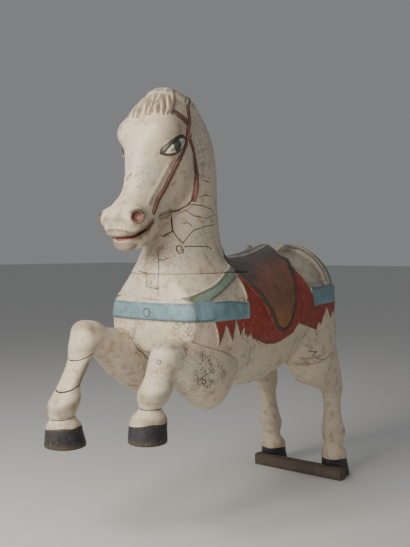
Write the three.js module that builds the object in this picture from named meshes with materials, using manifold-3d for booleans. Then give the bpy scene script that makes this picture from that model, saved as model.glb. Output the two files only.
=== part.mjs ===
// A carousel horse carved from glued blocks of wood and painted, standing on its hind legs with both
// forelegs lifted. A foot batten is let into the toes of its hind hooves and takes the deck bolts.
//
// Millimetres. +X is the horse's own left, -Y is the way it faces and +Z is up. The origin is on the
// batten's underside, in the horse's middle plane.

import * as THREE from "three";
import { mergeVertices } from "three/addons/utils/BufferGeometryUtils.js";
import Module from "manifold-3d";

const wasm = await Module();
wasm.setup();

// ---------------------------------------------------------------- driving dimensions

const JOINT_GAP = 0.3; // open glue joint between two blocks
const STRAP_RELIEF = 4; // how far the carved harness stands proud of the coat
const BLANKET_RELIEF = 5;
const FLAP_RELIEF = 11; // the saddle flap lies on top of the blanket
const PIPING_RELIEF = 3; // and is edged with a rolled cord
const PIPING_WIDTH = 12;
const BRIDLE_RADIUS = 5.5;
const RIM_RADIUS = 9; // padded roll along the seat and round the croup panel
const MANE_RADIUS = 15;
const LOCK_RADIUS = 9.5;
const BATTEN = { left: 172, right: -152, thick: 33, tall: 36, worn: 5 };

// Every form is lofted through cross-sections. Each row is one section: the x, y, z of its centre, how far
// its plane leans from level (0 is a level slice, 90 an upright slice facing forward), its half width, its
// half depth, how square it is (2 is an ellipse) and how much wider its far side is than its near side.
const section = ([x, y, z, lean, half, deep, square = 2.1, flare = 0]) => ({
  x, y, z, lean, half, deep, square, flare,
});

const TRUNK = [
  [0, 84, 575, 90, 66, 60, 2.2],
  [0, 56, 580, 90, 98, 88, 2.2],
  [0, 0, 586, 90, 132, 124, 2.2],
  [0, -80, 583, 90, 150, 156, 2.2],
  [0, -160, 565, 90, 160, 168, 2.2],
  [0, -230, 537, 90, 162, 175, 2.2],
  [0, -310, 517, 90, 164, 176, 2.25],
  [0, -400, 513, 90, 165, 176, 2.3],
  [0, -500, 519, 90, 165, 170, 2.35],
  [0, -585, 531, 90, 161, 150, 2.4, -0.06],
  [0, -650, 545, 90, 153, 122, 2.5, -0.1],
  [0, -694, 556, 90, 139, 96, 2.6, -0.1],
].map(section);

const NECK = [
  [0, -578, 556, 8, 114, 108, 2.3],
  [0, -583, 600, 6, 137, 130, 2.3],
  [0, -586, 638, 5, 130, 139, 2.3],
  [0, -586, 672, 4, 113, 137, 2.3],
  [0, -583, 705, 3, 96, 127, 2.2],
  [0, -578, 750, 2, 83, 113, 2.2],
  [0, -572, 805, 0, 76, 101, 2.2],
  [0, -568, 860, 0, 72, 94, 2.2],
  [0, -569, 930, 0, 69, 96, 2.2],
  [0, -581, 1000, 0, 67, 93, 2.2],
  [0, -600, 1056, -8, 62, 87, 2.2],
  [0, -619, 1102, -15, 53, 75, 2.2],
].map(section);

const SKULL = [
  [0, -803, 759, -23, 47, 42, 2.4, 0.05],
  [0, -794, 779, -23, 56, 55, 2.5, 0],
  [0, -769, 810, -23, 52, 57, 2.5, 0.05],
  [0, -729, 839, -23, 51, 68, 2.5, 0.1],
  [0, -699, 871, -23, 57, 87, 2.5, 0.14],
  [0, -688, 914, -23, 67, 93, 2.5, 0.18],
  [0, -682, 953, -23, 77, 96, 2.4, 0.12],
  [0, -674, 994, -23, 82, 93, 2.3, 0.02],
  [0, -660, 1030, -23, 78, 90, 2.2, 0],
  [0, -639, 1068, -23, 65, 79, 2.2, 0],
  [0, -621, 1100, -23, 46, 62, 2.2, 0],
].map(section);

const LOWER_JAW = [
  [0, -796, 741, -52, 37, 22, 2.2],
  [0, -772, 751, -48, 46, 31, 2.2],
  [0, -737, 784, -42, 48, 34, 2.2],
  [0, -694, 826, -35, 50, 38, 2.2],
].map(section);

const HIND_LEG = [
  [116, 50, 0, 0, 46, 46],
  [116, 45, 45, 0, 40, 40],
  [116, 44, 64, 0, 40, 40],
  [117, 42, 80, -4, 37, 37],
  [118, 34, 100, -8, 30, 30],
  [119, 33, 122, -6, 33, 34],
  [120, 31, 146, -4, 37, 38],
  [120, 26, 176, -4, 31, 32],
  [121, 20, 215, -6, 26, 28],
  [122, 15, 250, -6, 27, 31],
  [122, 8, 280, -4, 32, 46],
  [121, -28, 312, 8, 46, 69],
  [119, -74, 352, 14, 57, 94],
  [114, -102, 410, 12, 64, 108],
  [102, -94, 480, 8, 66, 116],
  [84, -76, 560, 0, 66, 106],
  [72, -60, 630, 0, 56, 84],
].map(section);

const RIGHT_LOWER_LEG = [
  [-98, -906, 248, 0, 51, 51],
  [-98, -910, 284, 0, 45, 45],
  [-98, -912, 300, 4, 42, 42],
  [-99, -914, 320, 8, 30, 31],
  [-100, -911, 338, 14, 37, 38],
  [-100, -908, 358, 18, 41, 41],
  [-100, -898, 386, 24, 33, 33],
  [-100, -874, 424, 28, 32, 33],
  [-100, -850, 464, 26, 35, 37],
  [-100, -838, 492, 16, 41, 44],
  [-100, -826, 520, 0, 38, 42],
].map(section);

const RIGHT_FOREARM = [
  [-99, -560, 446, 96, 46, 76],
  [-99, -620, 428, 96, 56, 102],
  [-99, -680, 437, 97, 56, 86],
  [-100, -740, 456, 98, 51, 67],
  [-101, -795, 490, 97, 45, 42],
  [-102, -840, 512, 94, 37, 34],
].map(section);

const LEFT_LOWER_LEG = [
  [80, -808, 264, 0, 47, 47],
  [80, -806, 302, 0, 45, 45],
  [81, -804, 322, 0, 43, 43],
  [83, -800, 346, 0, 27, 27],
  [85, -796, 362, 2, 36, 36],
  [87, -790, 384, 6, 42, 42],
  [91, -780, 412, 12, 38, 38],
  [96, -770, 440, 14, 39, 41],
  [100, -762, 466, 10, 41, 44],
  [102, -756, 486, 0, 36, 38],
].map(section);

const LEFT_FOREARM = [
  [114, -548, 424, 92, 40, 50],
  [117, -588, 410, 92, 50, 74],
  [118, -625, 405, 92, 54, 85],
  [116, -665, 413, 92, 52, 81],
  [112, -705, 430, 92, 48, 70],
  [106, -745, 449, 92, 43, 54],
  [103, -768, 462, 92, 37, 40],
].map(section);

// Open glue joints across the forelegs: a point on each and its lean.
const KNEE_JOINT = { x: -100, y: -848, z: 467, lean: 24 };
const CANNON_JOINT = { x: -100, y: -894, z: 393, lean: 24 };
const RIGHT_PASTERN_JOINT = { x: -99, y: -914, z: 321, lean: 8 };
const LEFT_PASTERN_JOINT = { x: 83, y: -800, z: 346, lean: 0 };
const NECK_JOINT = { z: 662, back: -446 };

// Outlines of the carved harness, seen from the side as y, z.
const BREAST_BAND = [[-780, 589], [-684, 593], [-580, 594], [-504, 586], [-511, 545], [-780, 545]];
const REAR_BAND = [[-176, 612], [-60, 617], [140, 606], [140, 556], [-60, 562], [-174, 557]];
const COLLAR = [[-446, 705], [-482, 661], [-556, 634], [-634, 600], [-690, 580], [-712, 604], [-620, 634],
  [-553, 664], [-490, 688], [-460, 720]];
const CROUPER = [[-78, 760], [-60, 690], [-46, 655], [-40, 606], [-14, 606], [-18, 660], [-30, 700],
  [-42, 760]];
const BLANKET = [[-512, 700], [-508, 656], [-503, 632], [-506, 600], [-512, 548], [-536, 546],
  [-528, 498], [-516, 538], [-508, 494], [-498, 520], [-494, 492], [-476, 484], [-432, 470], [-386, 466],
  [-341, 474], [-291, 488], [-261, 514], [-147, 485], [-143, 509], [-170, 556], [-172, 580], [-187, 606],
  [-203, 633], [-217, 660], [-222, 690], [-214, 760], [-440, 760]];
const FRONT_DAGS = [[-640, 548], [-617, 494], [-592, 540], [-578, 505], [-560, 548]];
const REAR_DAGS = [[-150, 562], [-138, 488], [-122, 520], [-84, 558], [-76, 520], [-44, 560]];
const FLAP = [[-514, 700], [-506, 660], [-482, 636], [-459, 620], [-442, 594], [-421, 566], [-403, 538],
  [-387, 514], [-372, 504], [-356, 500], [-338, 504], [-325, 514], [-314, 528], [-300, 550], [-285, 577],
  [-271, 610], [-258, 640], [-247, 668], [-233, 692], [-222, 712], [-200, 728], [-172, 740], [-168, 775],
  [-440, 775]];

const PIPING = [[-500, 668], [-482, 638], [-442, 596], [-403, 540], [-382, 512], [-356, 503], [-328, 513],
  [-300, 551], [-272, 608], [-247, 666], [-216, 713]];
const SEAT_RIDGE = [[0, -400, 694], [0, -330, 704], [0, -260, 717], [0, -212, 730], [0, -180, 735]];
const RIM = [[54, -203, 727], [68, -176, 728], [85, -141, 722], [107, -122, 707], [121, -106, 689],
  [137, -93, 661], [146, -84, 634], [149, -76, 614]];
const HEADSTALL = [[-612, 1116], [-622, 1100], [-631, 1085], [-639, 1050], [-656, 1014], [-660, 1002]];
const CHEEK_STRAP = [[-656, 1012], [-640, 988], [-616, 960], [-605, 925], [-605, 884], [-615, 852]];
const MOUTH_STRAP = [[-658, 1008], [-672, 974], [-685, 945], [-699, 910], [-716, 873], [-737, 842],
  [-752, 814]];
const BROW_STRAP = [[-656, 1044], [-672, 1053], [-688, 1060]];
const CREST = [[0, -622, 1132], [0, -574, 1108], [0, -535, 1072], [0, -505, 1030], [0, -487, 985],
  [0, -475, 930], [0, -476, 870], [0, -474, 810], [0, -470, 750], [0, -462, 700]];

// ---------------------------------------------------------------- shaping tools

// A closed mesh as a manifold-3d solid.
function solid(geometry) {
  const bare = new THREE.BufferGeometry().setAttribute("position", geometry.getAttribute("position"));
  bare.setIndex(geometry.index);
  const merged = mergeVertices(bare, 1e-3);
  return new wasm.Manifold(
    new wasm.Mesh({
      numProp: 3,
      vertProperties: new Float32Array(merged.attributes.position.array),
      triVerts: new Uint32Array(merged.index.array),
    }),
  );
}

function geometryOf(made) {
  const { vertProperties, triVerts } = made.getMesh();
  return new THREE.BufferGeometry()
    .setAttribute("position", new THREE.BufferAttribute(vertProperties, 3))
    .setIndex(new THREE.BufferAttribute(triVerts, 1));
}

const join = (...solids) => solids.reduce((all, next) => all.add(next));

// The three smooth curves that carry a row of sections from one to the next.
function flow(sections) {
  const curve = (pick) => {
    const through = sections.map((s) => new THREE.Vector3(...pick(s)));
    return new THREE.CatmullRomCurve3(through, false, "catmullrom", 0.5);
  };
  const centre = curve((s) => [s.x, s.y, s.z]);
  const girth = curve((s) => [s.half, s.deep, s.square]);
  const stance = curve((s) => [s.lean, s.flare, 0]);
  return (t) => {
    const [middle, size, turn] = [centre, girth, stance].map((c) => c.getPoint(t));
    return { middle, half: size.x, deep: size.y, square: size.z, lean: turn.x, flare: turn.y };
  };
}

// Which way a leaning section faces.
function facing(lean) {
  const angle = THREE.MathUtils.degToRad(lean);
  return new THREE.Vector3(0, -Math.sin(angle), Math.cos(angle));
}

// The corners of one section, shrunk about its middle by keep and moved along the form by shift.
function ring({ middle, half, deep, square, lean, flare }, sides, keep = 1, shift = 0) {
  const onward = facing(lean);
  const inward = new THREE.Vector3(0, onward.z, -onward.y);
  const rounded = (v) => Math.sign(v) * Math.abs(v) ** (2 / square);
  return Array.from({ length: sides }, (_, k) => {
    const turn = (2 * Math.PI * k) / sides;
    const depth = rounded(Math.sin(turn));
    const width = rounded(Math.cos(turn)) * (1 + flare * depth);
    return middle
      .clone()
      .addScaledVector(inward, deep * keep * depth)
      .addScaledVector(onward, shift)
      .add(new THREE.Vector3(half * keep * width, 0, 0));
  });
}

// The closed solid that is stretched over rings of corners, each ring with the same number of them.
function skinned(loops) {
  const sides = loops[0].length;
  const centre = (loop) =>
    loop.reduce((sum, p) => sum.add(p), new THREE.Vector3()).divideScalar(sides);
  const points = [...loops.flat(), centre(loops[0]), centre(loops.at(-1))];
  const corner = (level, k) => level * sides + (k % sides);
  const [foot, crown] = [points.length - 2, points.length - 1];
  const index = [];
  for (let k = 0; k < sides; k++) {
    for (let level = 0; level + 1 < loops.length; level++) {
      index.push(corner(level, k), corner(level, k + 1), corner(level + 1, k + 1));
      index.push(corner(level, k), corner(level + 1, k + 1), corner(level + 1, k));
    }
    index.push(foot, corner(0, k + 1), corner(0, k));
    index.push(crown, corner(loops.length - 1, k), corner(loops.length - 1, k + 1));
  }
  return solid(new THREE.BufferGeometry().setFromPoints(points).setIndex(index));
}

// A form lofted through its sections, with domed or flat ends and grown by swell all round.
function loft(sections, { sides, steps = 1, domes = [0, 0], swell = 0 }) {
  const at = flow(sections);
  const count = (sections.length - 1) * steps;
  const grown = (t) => {
    const here = at(t);
    return { ...here, half: here.half + swell, deep: here.deep + swell };
  };
  const dome = (t, height, sense) =>
    [0.97, 0.8, 0.45].map((u) => ring(grown(t), sides, Math.sqrt(1 - u * u), sense * height * u));
  const loops = [];
  if (domes[0]) loops.push(...dome(0, domes[0] + swell, -1));
  for (let i = 0; i <= count; i++) loops.push(ring(grown(i / count), sides));
  if (domes[1]) loops.push(...dome(1, domes[1] + swell, 1).reverse());
  return skinned(loops);
}

// A round bead along a smooth line, tapered to half its radius at both ends.
function bead(points, radius, { sides = 6, steps = 8 } = {}) {
  const curve = new THREE.CatmullRomCurve3(points.map((p) => new THREE.Vector3(...p)));
  const { normals, binormals } = curve.computeFrenetFrames(steps, false);
  const loops = normals.map((normal, i) => {
    const here = curve.getPointAt(i / steps);
    const r = i === 0 || i === steps ? radius / 2 : radius;
    return Array.from({ length: sides }, (_, k) => {
      const turn = (2 * Math.PI * k) / sides;
      return here
        .clone()
        .addScaledVector(normal, r * Math.cos(turn))
        .addScaledVector(binormals[i], r * Math.sin(turn));
    });
  });
  return skinned(loops);
}

// Points on a solid's side, given as y, z and found from outside. side is 1 for the left and -1 for the right.
const ray = new THREE.Raycaster();
const hitTarget = (made) => new THREE.Mesh(geometryOf(made));
function onSide(target, side, path) {
  return path.map(([y, z]) => {
    ray.set(new THREE.Vector3(side * 400, y, z), new THREE.Vector3(-side, 0, 0));
    return ray.intersectObject(target)[0].point.toArray();
  });
}

function ellipsoid([x, y, z], [rx, ry, rz], { sides = 14, tilt = 0 } = {}) {
  const ball = new THREE.SphereGeometry(1, sides, Math.round(sides * 0.6));
  ball.scale(rx, ry, rz).rotateX(THREE.MathUtils.degToRad(tilt)).translate(x, y, z);
  return solid(ball);
}

// An outline given as y, z, run right through the horse from side to side.
function sawn(outline, halfWidth = 220) {
  const shape = new THREE.Shape(outline.map(([y, z]) => new THREE.Vector2(y, z)));
  const bar = new THREE.ExtrudeGeometry(shape, { depth: 2 * halfWidth, bevelEnabled: false });
  const sideways = new THREE.Matrix4().makeBasis(
    new THREE.Vector3(0, 1, 0),
    new THREE.Vector3(0, 0, 1),
    new THREE.Vector3(1, 0, 0),
  );
  return solid(bar.applyMatrix4(sideways).translate(-halfWidth, 0, 0));
}

// The outline of a strap of even width along a line of y, z points.
function strap(path, halfWidth) {
  const line = path.map(([y, z]) => new THREE.Vector2(y, z));
  const edge = (sense) =>
    line.map((p, i) => {
      const ahead = line[Math.min(i + 1, line.length - 1)];
      const behind = line[Math.max(i - 1, 0)];
      const run = ahead.clone().sub(behind).normalize();
      return [p.x - sense * halfWidth * run.y, p.y + sense * halfWidth * run.x];
    });
  return [...edge(1), ...edge(-1).reverse()];
}

function block([x0, y0, z0], [x1, y1, z1]) {
  const box = new THREE.BoxGeometry(x1 - x0, y1 - y0, z1 - z0);
  return solid(box.translate((x0 + x1) / 2, (y0 + y1) / 2, (z0 + z1) / 2));
}

// The part of a solid on one side of a joint, half the gap away from it. sense 1 keeps what is above.
function partBeyond(made, joint, sense) {
  const normal = facing(joint.lean).multiplyScalar(sense);
  const offset = normal.dot(new THREE.Vector3(joint.x, joint.y, joint.z)) + JOINT_GAP / 2;
  return made.trimByPlane(normal.toArray(), offset);
}

const mirrored = (sections) => sections.map((s) => ({ ...s, x: -s.x }));
const BOTH_SIDES = [1, -1];

// ---------------------------------------------------------------- trunk and hind legs

const trunk = (swell) => loft(TRUNK, { sides: 20, domes: [24, 28], swell });
const neck = (swell) => loft(NECK, { sides: 16, domes: [0, 16], swell });

function hindLeg(side) {
  const sections = side > 0 ? HIND_LEG : mirrored(HIND_LEG);
  return loft(sections, { sides: 14, domes: [0, 20] });
}

function harness() {
  const relief = (swell, outline) => trunk(swell).intersect(sawn(outline));
  const collar = join(trunk(STRAP_RELIEF), neck(STRAP_RELIEF)).intersect(sawn(COLLAR));
  return join(
    relief(STRAP_RELIEF, BREAST_BAND),
    relief(STRAP_RELIEF, REAR_BAND),
    relief(STRAP_RELIEF, CROUPER),
    relief(BLANKET_RELIEF, BLANKET),
    relief(BLANKET_RELIEF, FRONT_DAGS),
    relief(BLANKET_RELIEF, REAR_DAGS),
    relief(FLAP_RELIEF, FLAP),
    relief(FLAP_RELIEF + PIPING_RELIEF, strap(PIPING, PIPING_WIDTH / 2)),
    collar,
    bead(SEAT_RIDGE, RIM_RADIUS, { sides: 5, steps: 4 }),
    ...BOTH_SIDES.map((side) =>
      bead(RIM.map(([x, y, z]) => [side * x, y, z]), RIM_RADIUS, { sides: 5, steps: 6 }),
    ),
  );
}

const dock = () => bead([[0, 84, 640], [0, 112, 626], [0, 126, 600], [0, 128, 572]], 17, { steps: 4 });

// ---------------------------------------------------------------- head and neck

function forelock(skull) {
  const heart = new THREE.Vector3(0, -640, 1010);
  const onSkull = (x, y, z) => {
    ray.set(new THREE.Vector3(x, y, z), heart.clone().sub(new THREE.Vector3(x, y, z)).normalize());
    return ray.intersectObject(skull)[0].point;
  };
  const LOCKS = 7;
  return Array.from({ length: LOCKS }, (_, k) => {
    const across = (2 * k) / (LOCKS - 1) - 1;
    const fall = [0, 0.35, 0.7, 1].map((down) => {
      const spread = across * (30 + 62 * down);
      const wave = 6 * Math.sin(down * 7 + k);
      const forward = 150 * down * (1 - 0.45 * Math.abs(across));
      return onSkull(spread + wave, -650 - forward, 1250 - 190 * down ** 1.5);
    });
    return bead(fall.map((p) => p.toArray()), LOCK_RADIUS, { sides: 4, steps: 4 });
  });
}

function bridle(base) {
  const straps = [HEADSTALL, CHEEK_STRAP, MOUTH_STRAP, BROW_STRAP];
  return BOTH_SIDES.flatMap((side) =>
    straps.map((path) =>
      bead(onSide(base, side, path), BRIDLE_RADIUS, { sides: 4, steps: path.length }),
    ),
  );
}

function headAndNeck() {
  const skull = loft(SKULL, { sides: 16, domes: [16, 18] });
  const features = BOTH_SIDES.flatMap((side) => [
    ellipsoid([side * 43, -708, 1016], [50, 52, 44], { sides: 10 }),
    ellipsoid([side * 66, -697, 979], [24, 36, 24], { sides: 8, tilt: 35 }),
    ellipsoid([side * 40, -804, 803], [22, 28, 24], { sides: 8 }),
  ]);
  const head = join(skull, loft(LOWER_JAW, { sides: 10, domes: [24, 10] }), ...features);
  const nostrils = BOTH_SIDES.map((side) => ellipsoid([side * 58, -818, 800], [13, 11, 12], { sides: 7 }));
  const mouth = ellipsoid([0, -806, 756], [66, 58, 6], { sides: 12, tilt: 33 });
  const whole = join(neck(0), head.subtract(mouth), bead(CREST, MANE_RADIUS, { sides: 6, steps: 8 }));
  const dressed = join(whole, ...forelock(hitTarget(head)), ...bridle(hitTarget(whole)));
  return dressed.subtract(join(...nostrils));
}

// ---------------------------------------------------------------- the blocks

const rising = join(trunk(0), harness(), dock(), hindLeg(1), hindLeg(-1), headAndNeck());
const neckBlock = (grow) =>
  block([-400, -1200, NECK_JOINT.z - grow], [400, NECK_JOINT.back + grow, 1500]);

const battenOutline = [
  [BATTEN.left, -BATTEN.thick / 2],
  [BATTEN.left, BATTEN.thick / 2],
  [BATTEN.right, BATTEN.thick / 2],
  [BATTEN.right - BATTEN.worn, BATTEN.worn],
  [BATTEN.right, -BATTEN.thick / 2],
];
function batten() {
  const plan = new THREE.Shape(battenOutline.map(([x, y]) => new THREE.Vector2(x, y)));
  return new THREE.ExtrudeGeometry(plan, { depth: BATTEN.tall, bevelEnabled: false });
}
const battenRebate = block(
  [-400, -BATTEN.thick / 2 - JOINT_GAP, -1],
  [400, BATTEN.thick / 2 + JOINT_GAP, BATTEN.tall + JOINT_GAP],
);

const body = rising.subtract(neckBlock(0)).subtract(battenRebate);
const nearBody = join(trunk(JOINT_GAP), neck(JOINT_GAP));

const rightLower = loft(RIGHT_LOWER_LEG, { sides: 12, domes: [0, 26] });
const rightForearm = (swell) => loft(RIGHT_FOREARM, { sides: 14, domes: [20, 20], swell });
const leftLower = loft(LEFT_LOWER_LEG, { sides: 12, domes: [0, 18] });
const leftForearm = loft(LEFT_FOREARM, { sides: 14, domes: [20, 18] });

const between = (made, over, under) => partBeyond(partBeyond(made, under, 1), over, -1);

const blocks = {
  body,
  head_and_neck: rising.intersect(neckBlock(-JOINT_GAP)),
  right_foreleg: join(partBeyond(rightLower, KNEE_JOINT, 1), rightForearm(0)).subtract(nearBody),
  right_fore_cannon: between(rightLower, KNEE_JOINT, CANNON_JOINT).subtract(rightForearm(JOINT_GAP)),
  right_fore_fetlock: between(rightLower, CANNON_JOINT, RIGHT_PASTERN_JOINT),
  right_fore_hoof: partBeyond(rightLower, RIGHT_PASTERN_JOINT, -1),
  left_foreleg: join(partBeyond(leftLower, LEFT_PASTERN_JOINT, 1), leftForearm).subtract(nearBody),
  left_fore_hoof: partBeyond(leftLower, LEFT_PASTERN_JOINT, -1),
  foot_batten: solid(batten()),
};

// ---------------------------------------------------------------- the assembly

const COAT = { color: 0xcfc5b0, roughness: 0.5 };
const HOOF = { color: 0x8f8a80, roughness: 0.55 };
const BARE_WOOD = { color: 0x5a5048, roughness: 0.85 };
const finishes = { right_fore_hoof: HOOF, left_fore_hoof: HOOF, foot_batten: BARE_WOOD };

const carouselHorse = new THREE.Group();
for (const [name, made] of Object.entries(blocks)) {
  const finish = finishes[name] ?? COAT;
  const mesh = new THREE.Mesh(
    geometryOf(made),
    new THREE.MeshStandardMaterial({ ...finish, metalness: 0 }),
  );
  mesh.name = name;
  carouselHorse.add(mesh);
}

export default carouselHorse;
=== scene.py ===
"""A carved and painted wooden carousel horse, as it looks after many years of use.

Each block of the horse is carved here a second time, finer than its solid: as signed distances on a grid of
small cubes, which are joined, cut and raised like wood, and then skinned with a mesh. The paint follows
distances to the painted outlines, so its edges are sharper than the mesh. Tables are in millimetres, and
the scene is in metres: +X is the horse's left, -Y the way it faces, +Z up.
"""

import logging
import math
from collections.abc import Sequence
from dataclasses import dataclass, field
from enum import Enum

import bpy
import numpy as np
import openvdb as vdb
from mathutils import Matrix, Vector


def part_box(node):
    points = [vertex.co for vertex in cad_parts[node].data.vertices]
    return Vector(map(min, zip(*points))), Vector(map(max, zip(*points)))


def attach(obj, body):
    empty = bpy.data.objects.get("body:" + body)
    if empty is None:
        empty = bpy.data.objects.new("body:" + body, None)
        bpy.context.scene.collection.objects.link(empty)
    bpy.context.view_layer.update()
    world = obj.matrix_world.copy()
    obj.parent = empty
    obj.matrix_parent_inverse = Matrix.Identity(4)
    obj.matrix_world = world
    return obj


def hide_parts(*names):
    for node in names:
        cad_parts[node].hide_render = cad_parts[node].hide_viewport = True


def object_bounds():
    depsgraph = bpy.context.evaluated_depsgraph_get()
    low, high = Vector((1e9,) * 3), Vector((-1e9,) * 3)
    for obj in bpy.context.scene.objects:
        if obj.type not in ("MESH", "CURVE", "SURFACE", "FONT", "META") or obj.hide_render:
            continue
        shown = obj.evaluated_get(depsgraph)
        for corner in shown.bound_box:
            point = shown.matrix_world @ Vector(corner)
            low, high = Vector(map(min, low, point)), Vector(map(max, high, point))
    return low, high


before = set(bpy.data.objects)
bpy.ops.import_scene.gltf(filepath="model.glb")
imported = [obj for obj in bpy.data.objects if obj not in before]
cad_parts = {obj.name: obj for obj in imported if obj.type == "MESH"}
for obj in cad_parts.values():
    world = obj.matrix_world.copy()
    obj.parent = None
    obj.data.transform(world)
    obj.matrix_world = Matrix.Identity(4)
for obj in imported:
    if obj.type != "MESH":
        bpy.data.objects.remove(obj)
CAD_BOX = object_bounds()

log = logging.getLogger("carousel_horse")

Array = np.ndarray
Path = Sequence[Sequence[float]]
Tree = bpy.types.NodeTree
Socket = bpy.types.NodeSocket
MM = 0.001
AWAY = 60.0  # a distance, in mm, that means nowhere near
JOINT_GAP = 0.3
STRAP_RELIEF = 4.0
BLANKET_RELIEF = 5.0
FLAP_RELIEF = 11.0
PIECE_TRIANGLES = 190_000
ARRIS = 0.8  # how far the edge of a parted block is eased
NECK_FRONT = -600  # the chest's and face's own lines lie ahead of this y
CREAM, BLACK, BARE = "cream_painted_wood", "black_painted_wood", "weathered_bare_wood"


class View(Enum):
    """The flat projection that an outline is drawn in, as the two axes it keeps."""

    SIDE = (1, 2)
    FRONT = (0, 2)


class Side(Enum):
    """Which of the horse's sides a feature is on."""

    LEFT = 1
    RIGHT = -1
    BOTH = 0


# ---------------------------------------------------------------- the horse's own tables

TRUNK = [
    [0, 84, 575, 90, 66, 60, 2.2], [0, 56, 580, 90, 98, 88, 2.2], [0, 0, 586, 90, 132, 124, 2.2],
    [0, -80, 583, 90, 150, 156, 2.2], [0, -160, 565, 90, 160, 168, 2.2], [0, -230, 537, 90, 162, 175, 2.2],
    [0, -310, 517, 90, 164, 176, 2.25], [0, -400, 513, 90, 165, 176, 2.3], [0, -500, 519, 90, 165, 170, 2.35],
    [0, -585, 531, 90, 161, 150, 2.4, -0.06], [0, -650, 545, 90, 153, 122, 2.5, -0.1],
    [0, -694, 556, 90, 139, 96, 2.6, -0.1],
]
NECK = [
    [0, -578, 556, 8, 114, 108, 2.3], [0, -583, 600, 6, 137, 130, 2.3], [0, -586, 638, 5, 130, 139, 2.3],
    [0, -586, 672, 4, 113, 137, 2.3], [0, -583, 705, 3, 96, 127, 2.2], [0, -578, 750, 2, 83, 113, 2.2],
    [0, -572, 805, 0, 76, 101, 2.2], [0, -568, 860, 0, 72, 94, 2.2], [0, -569, 930, 0, 69, 96, 2.2],
    [0, -581, 1000, 0, 67, 93, 2.2], [0, -600, 1056, -8, 62, 87, 2.2], [0, -619, 1102, -15, 53, 75, 2.2],
]
SKULL = [
    [0, -803, 759, -23, 47, 42, 2.4, 0.05], [0, -794, 779, -23, 56, 55, 2.5, 0],
    [0, -769, 810, -23, 52, 57, 2.5, 0.05], [0, -729, 839, -23, 51, 68, 2.5, 0.1],
    [0, -699, 871, -23, 57, 87, 2.5, 0.14], [0, -688, 914, -23, 67, 93, 2.5, 0.18],
    [0, -682, 953, -23, 77, 96, 2.4, 0.12], [0, -674, 994, -23, 82, 93, 2.3, 0.02],
    [0, -660, 1030, -23, 78, 90, 2.2, 0], [0, -639, 1068, -23, 65, 79, 2.2, 0],
    [0, -621, 1100, -23, 46, 62, 2.2, 0],
]
LOWER_JAW = [
    [0, -796, 741, -52, 37, 22, 2.2], [0, -772, 751, -48, 46, 31, 2.2], [0, -737, 784, -42, 48, 34, 2.2],
    [0, -694, 826, -35, 50, 38, 2.2],
]
HIND_LEG = [
    [116, 50, 0, 0, 46, 46], [116, 45, 45, 0, 40, 40], [116, 44, 64, 0, 40, 40], [117, 42, 80, -4, 37, 37],
    [118, 34, 100, -8, 30, 30], [119, 33, 122, -6, 33, 34], [120, 31, 146, -4, 37, 38],
    [120, 26, 176, -4, 31, 32], [121, 20, 215, -6, 26, 28], [122, 15, 250, -6, 27, 31],
    [122, 8, 280, -4, 32, 46], [121, -28, 312, 8, 46, 69], [119, -74, 352, 14, 57, 94],
    [114, -102, 410, 12, 64, 108], [102, -94, 480, 8, 66, 116], [84, -76, 560, 0, 66, 106],
    [72, -60, 630, 0, 56, 84],
]
RIGHT_LOWER_LEG = [
    [-98, -906, 248, 0, 51, 51], [-98, -910, 284, 0, 45, 45], [-98, -912, 300, 4, 42, 42],
    [-99, -914, 320, 8, 30, 31], [-100, -911, 338, 14, 37, 38], [-100, -908, 358, 18, 41, 41],
    [-100, -898, 386, 24, 33, 33], [-100, -874, 424, 28, 32, 33], [-100, -850, 464, 26, 35, 37],
    [-100, -838, 492, 16, 41, 44], [-100, -826, 520, 0, 38, 42],
]
RIGHT_FOREARM = [
    [-99, -560, 446, 96, 46, 76], [-99, -620, 428, 96, 56, 102], [-99, -680, 437, 97, 56, 86],
    [-100, -740, 456, 98, 51, 67], [-101, -795, 490, 97, 45, 42], [-102, -840, 512, 94, 37, 34],
]
LEFT_LOWER_LEG = [
    [80, -808, 264, 0, 47, 47], [80, -806, 302, 0, 45, 45], [81, -804, 322, 0, 43, 43],
    [83, -800, 346, 0, 27, 27], [85, -796, 362, 2, 36, 36], [87, -790, 384, 6, 42, 42],
    [91, -780, 412, 12, 38, 38], [96, -770, 440, 14, 39, 41], [100, -762, 466, 10, 41, 44],
    [102, -756, 486, 0, 36, 38],
]
LEFT_FOREARM = [
    [114, -548, 424, 92, 40, 50], [117, -588, 410, 92, 50, 74], [118, -625, 405, 92, 54, 85],
    [116, -665, 413, 92, 52, 81], [112, -705, 430, 92, 48, 70], [106, -745, 449, 92, 43, 54],
    [103, -768, 462, 92, 37, 40],
]

# Harness outlines, seen from the side as y, z.
BREAST_BAND = [[-780, 589], [-684, 593], [-580, 594], [-504, 586], [-511, 545], [-780, 545]]
REAR_BAND = [[-176, 612], [-60, 617], [140, 606], [140, 556], [-60, 562], [-174, 557]]
COLLAR = [[-446, 705], [-482, 661], [-556, 634], [-634, 600], [-690, 580], [-712, 604], [-620, 634],
          [-553, 664], [-490, 688], [-460, 720]]
CROUPER = [[-78, 760], [-60, 690], [-46, 655], [-40, 606], [-14, 606], [-18, 660], [-30, 700], [-42, 760]]
BLANKET = [[-512, 700], [-508, 656], [-503, 632], [-506, 600], [-512, 548], [-536, 546], [-528, 498],
           [-516, 538], [-508, 494], [-498, 520], [-494, 492], [-476, 484], [-432, 470], [-386, 466],
           [-341, 474], [-291, 488], [-261, 514], [-147, 485], [-143, 509], [-170, 556], [-172, 580],
           [-187, 606], [-203, 633], [-217, 660], [-222, 690], [-214, 760], [-440, 760]]
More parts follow.
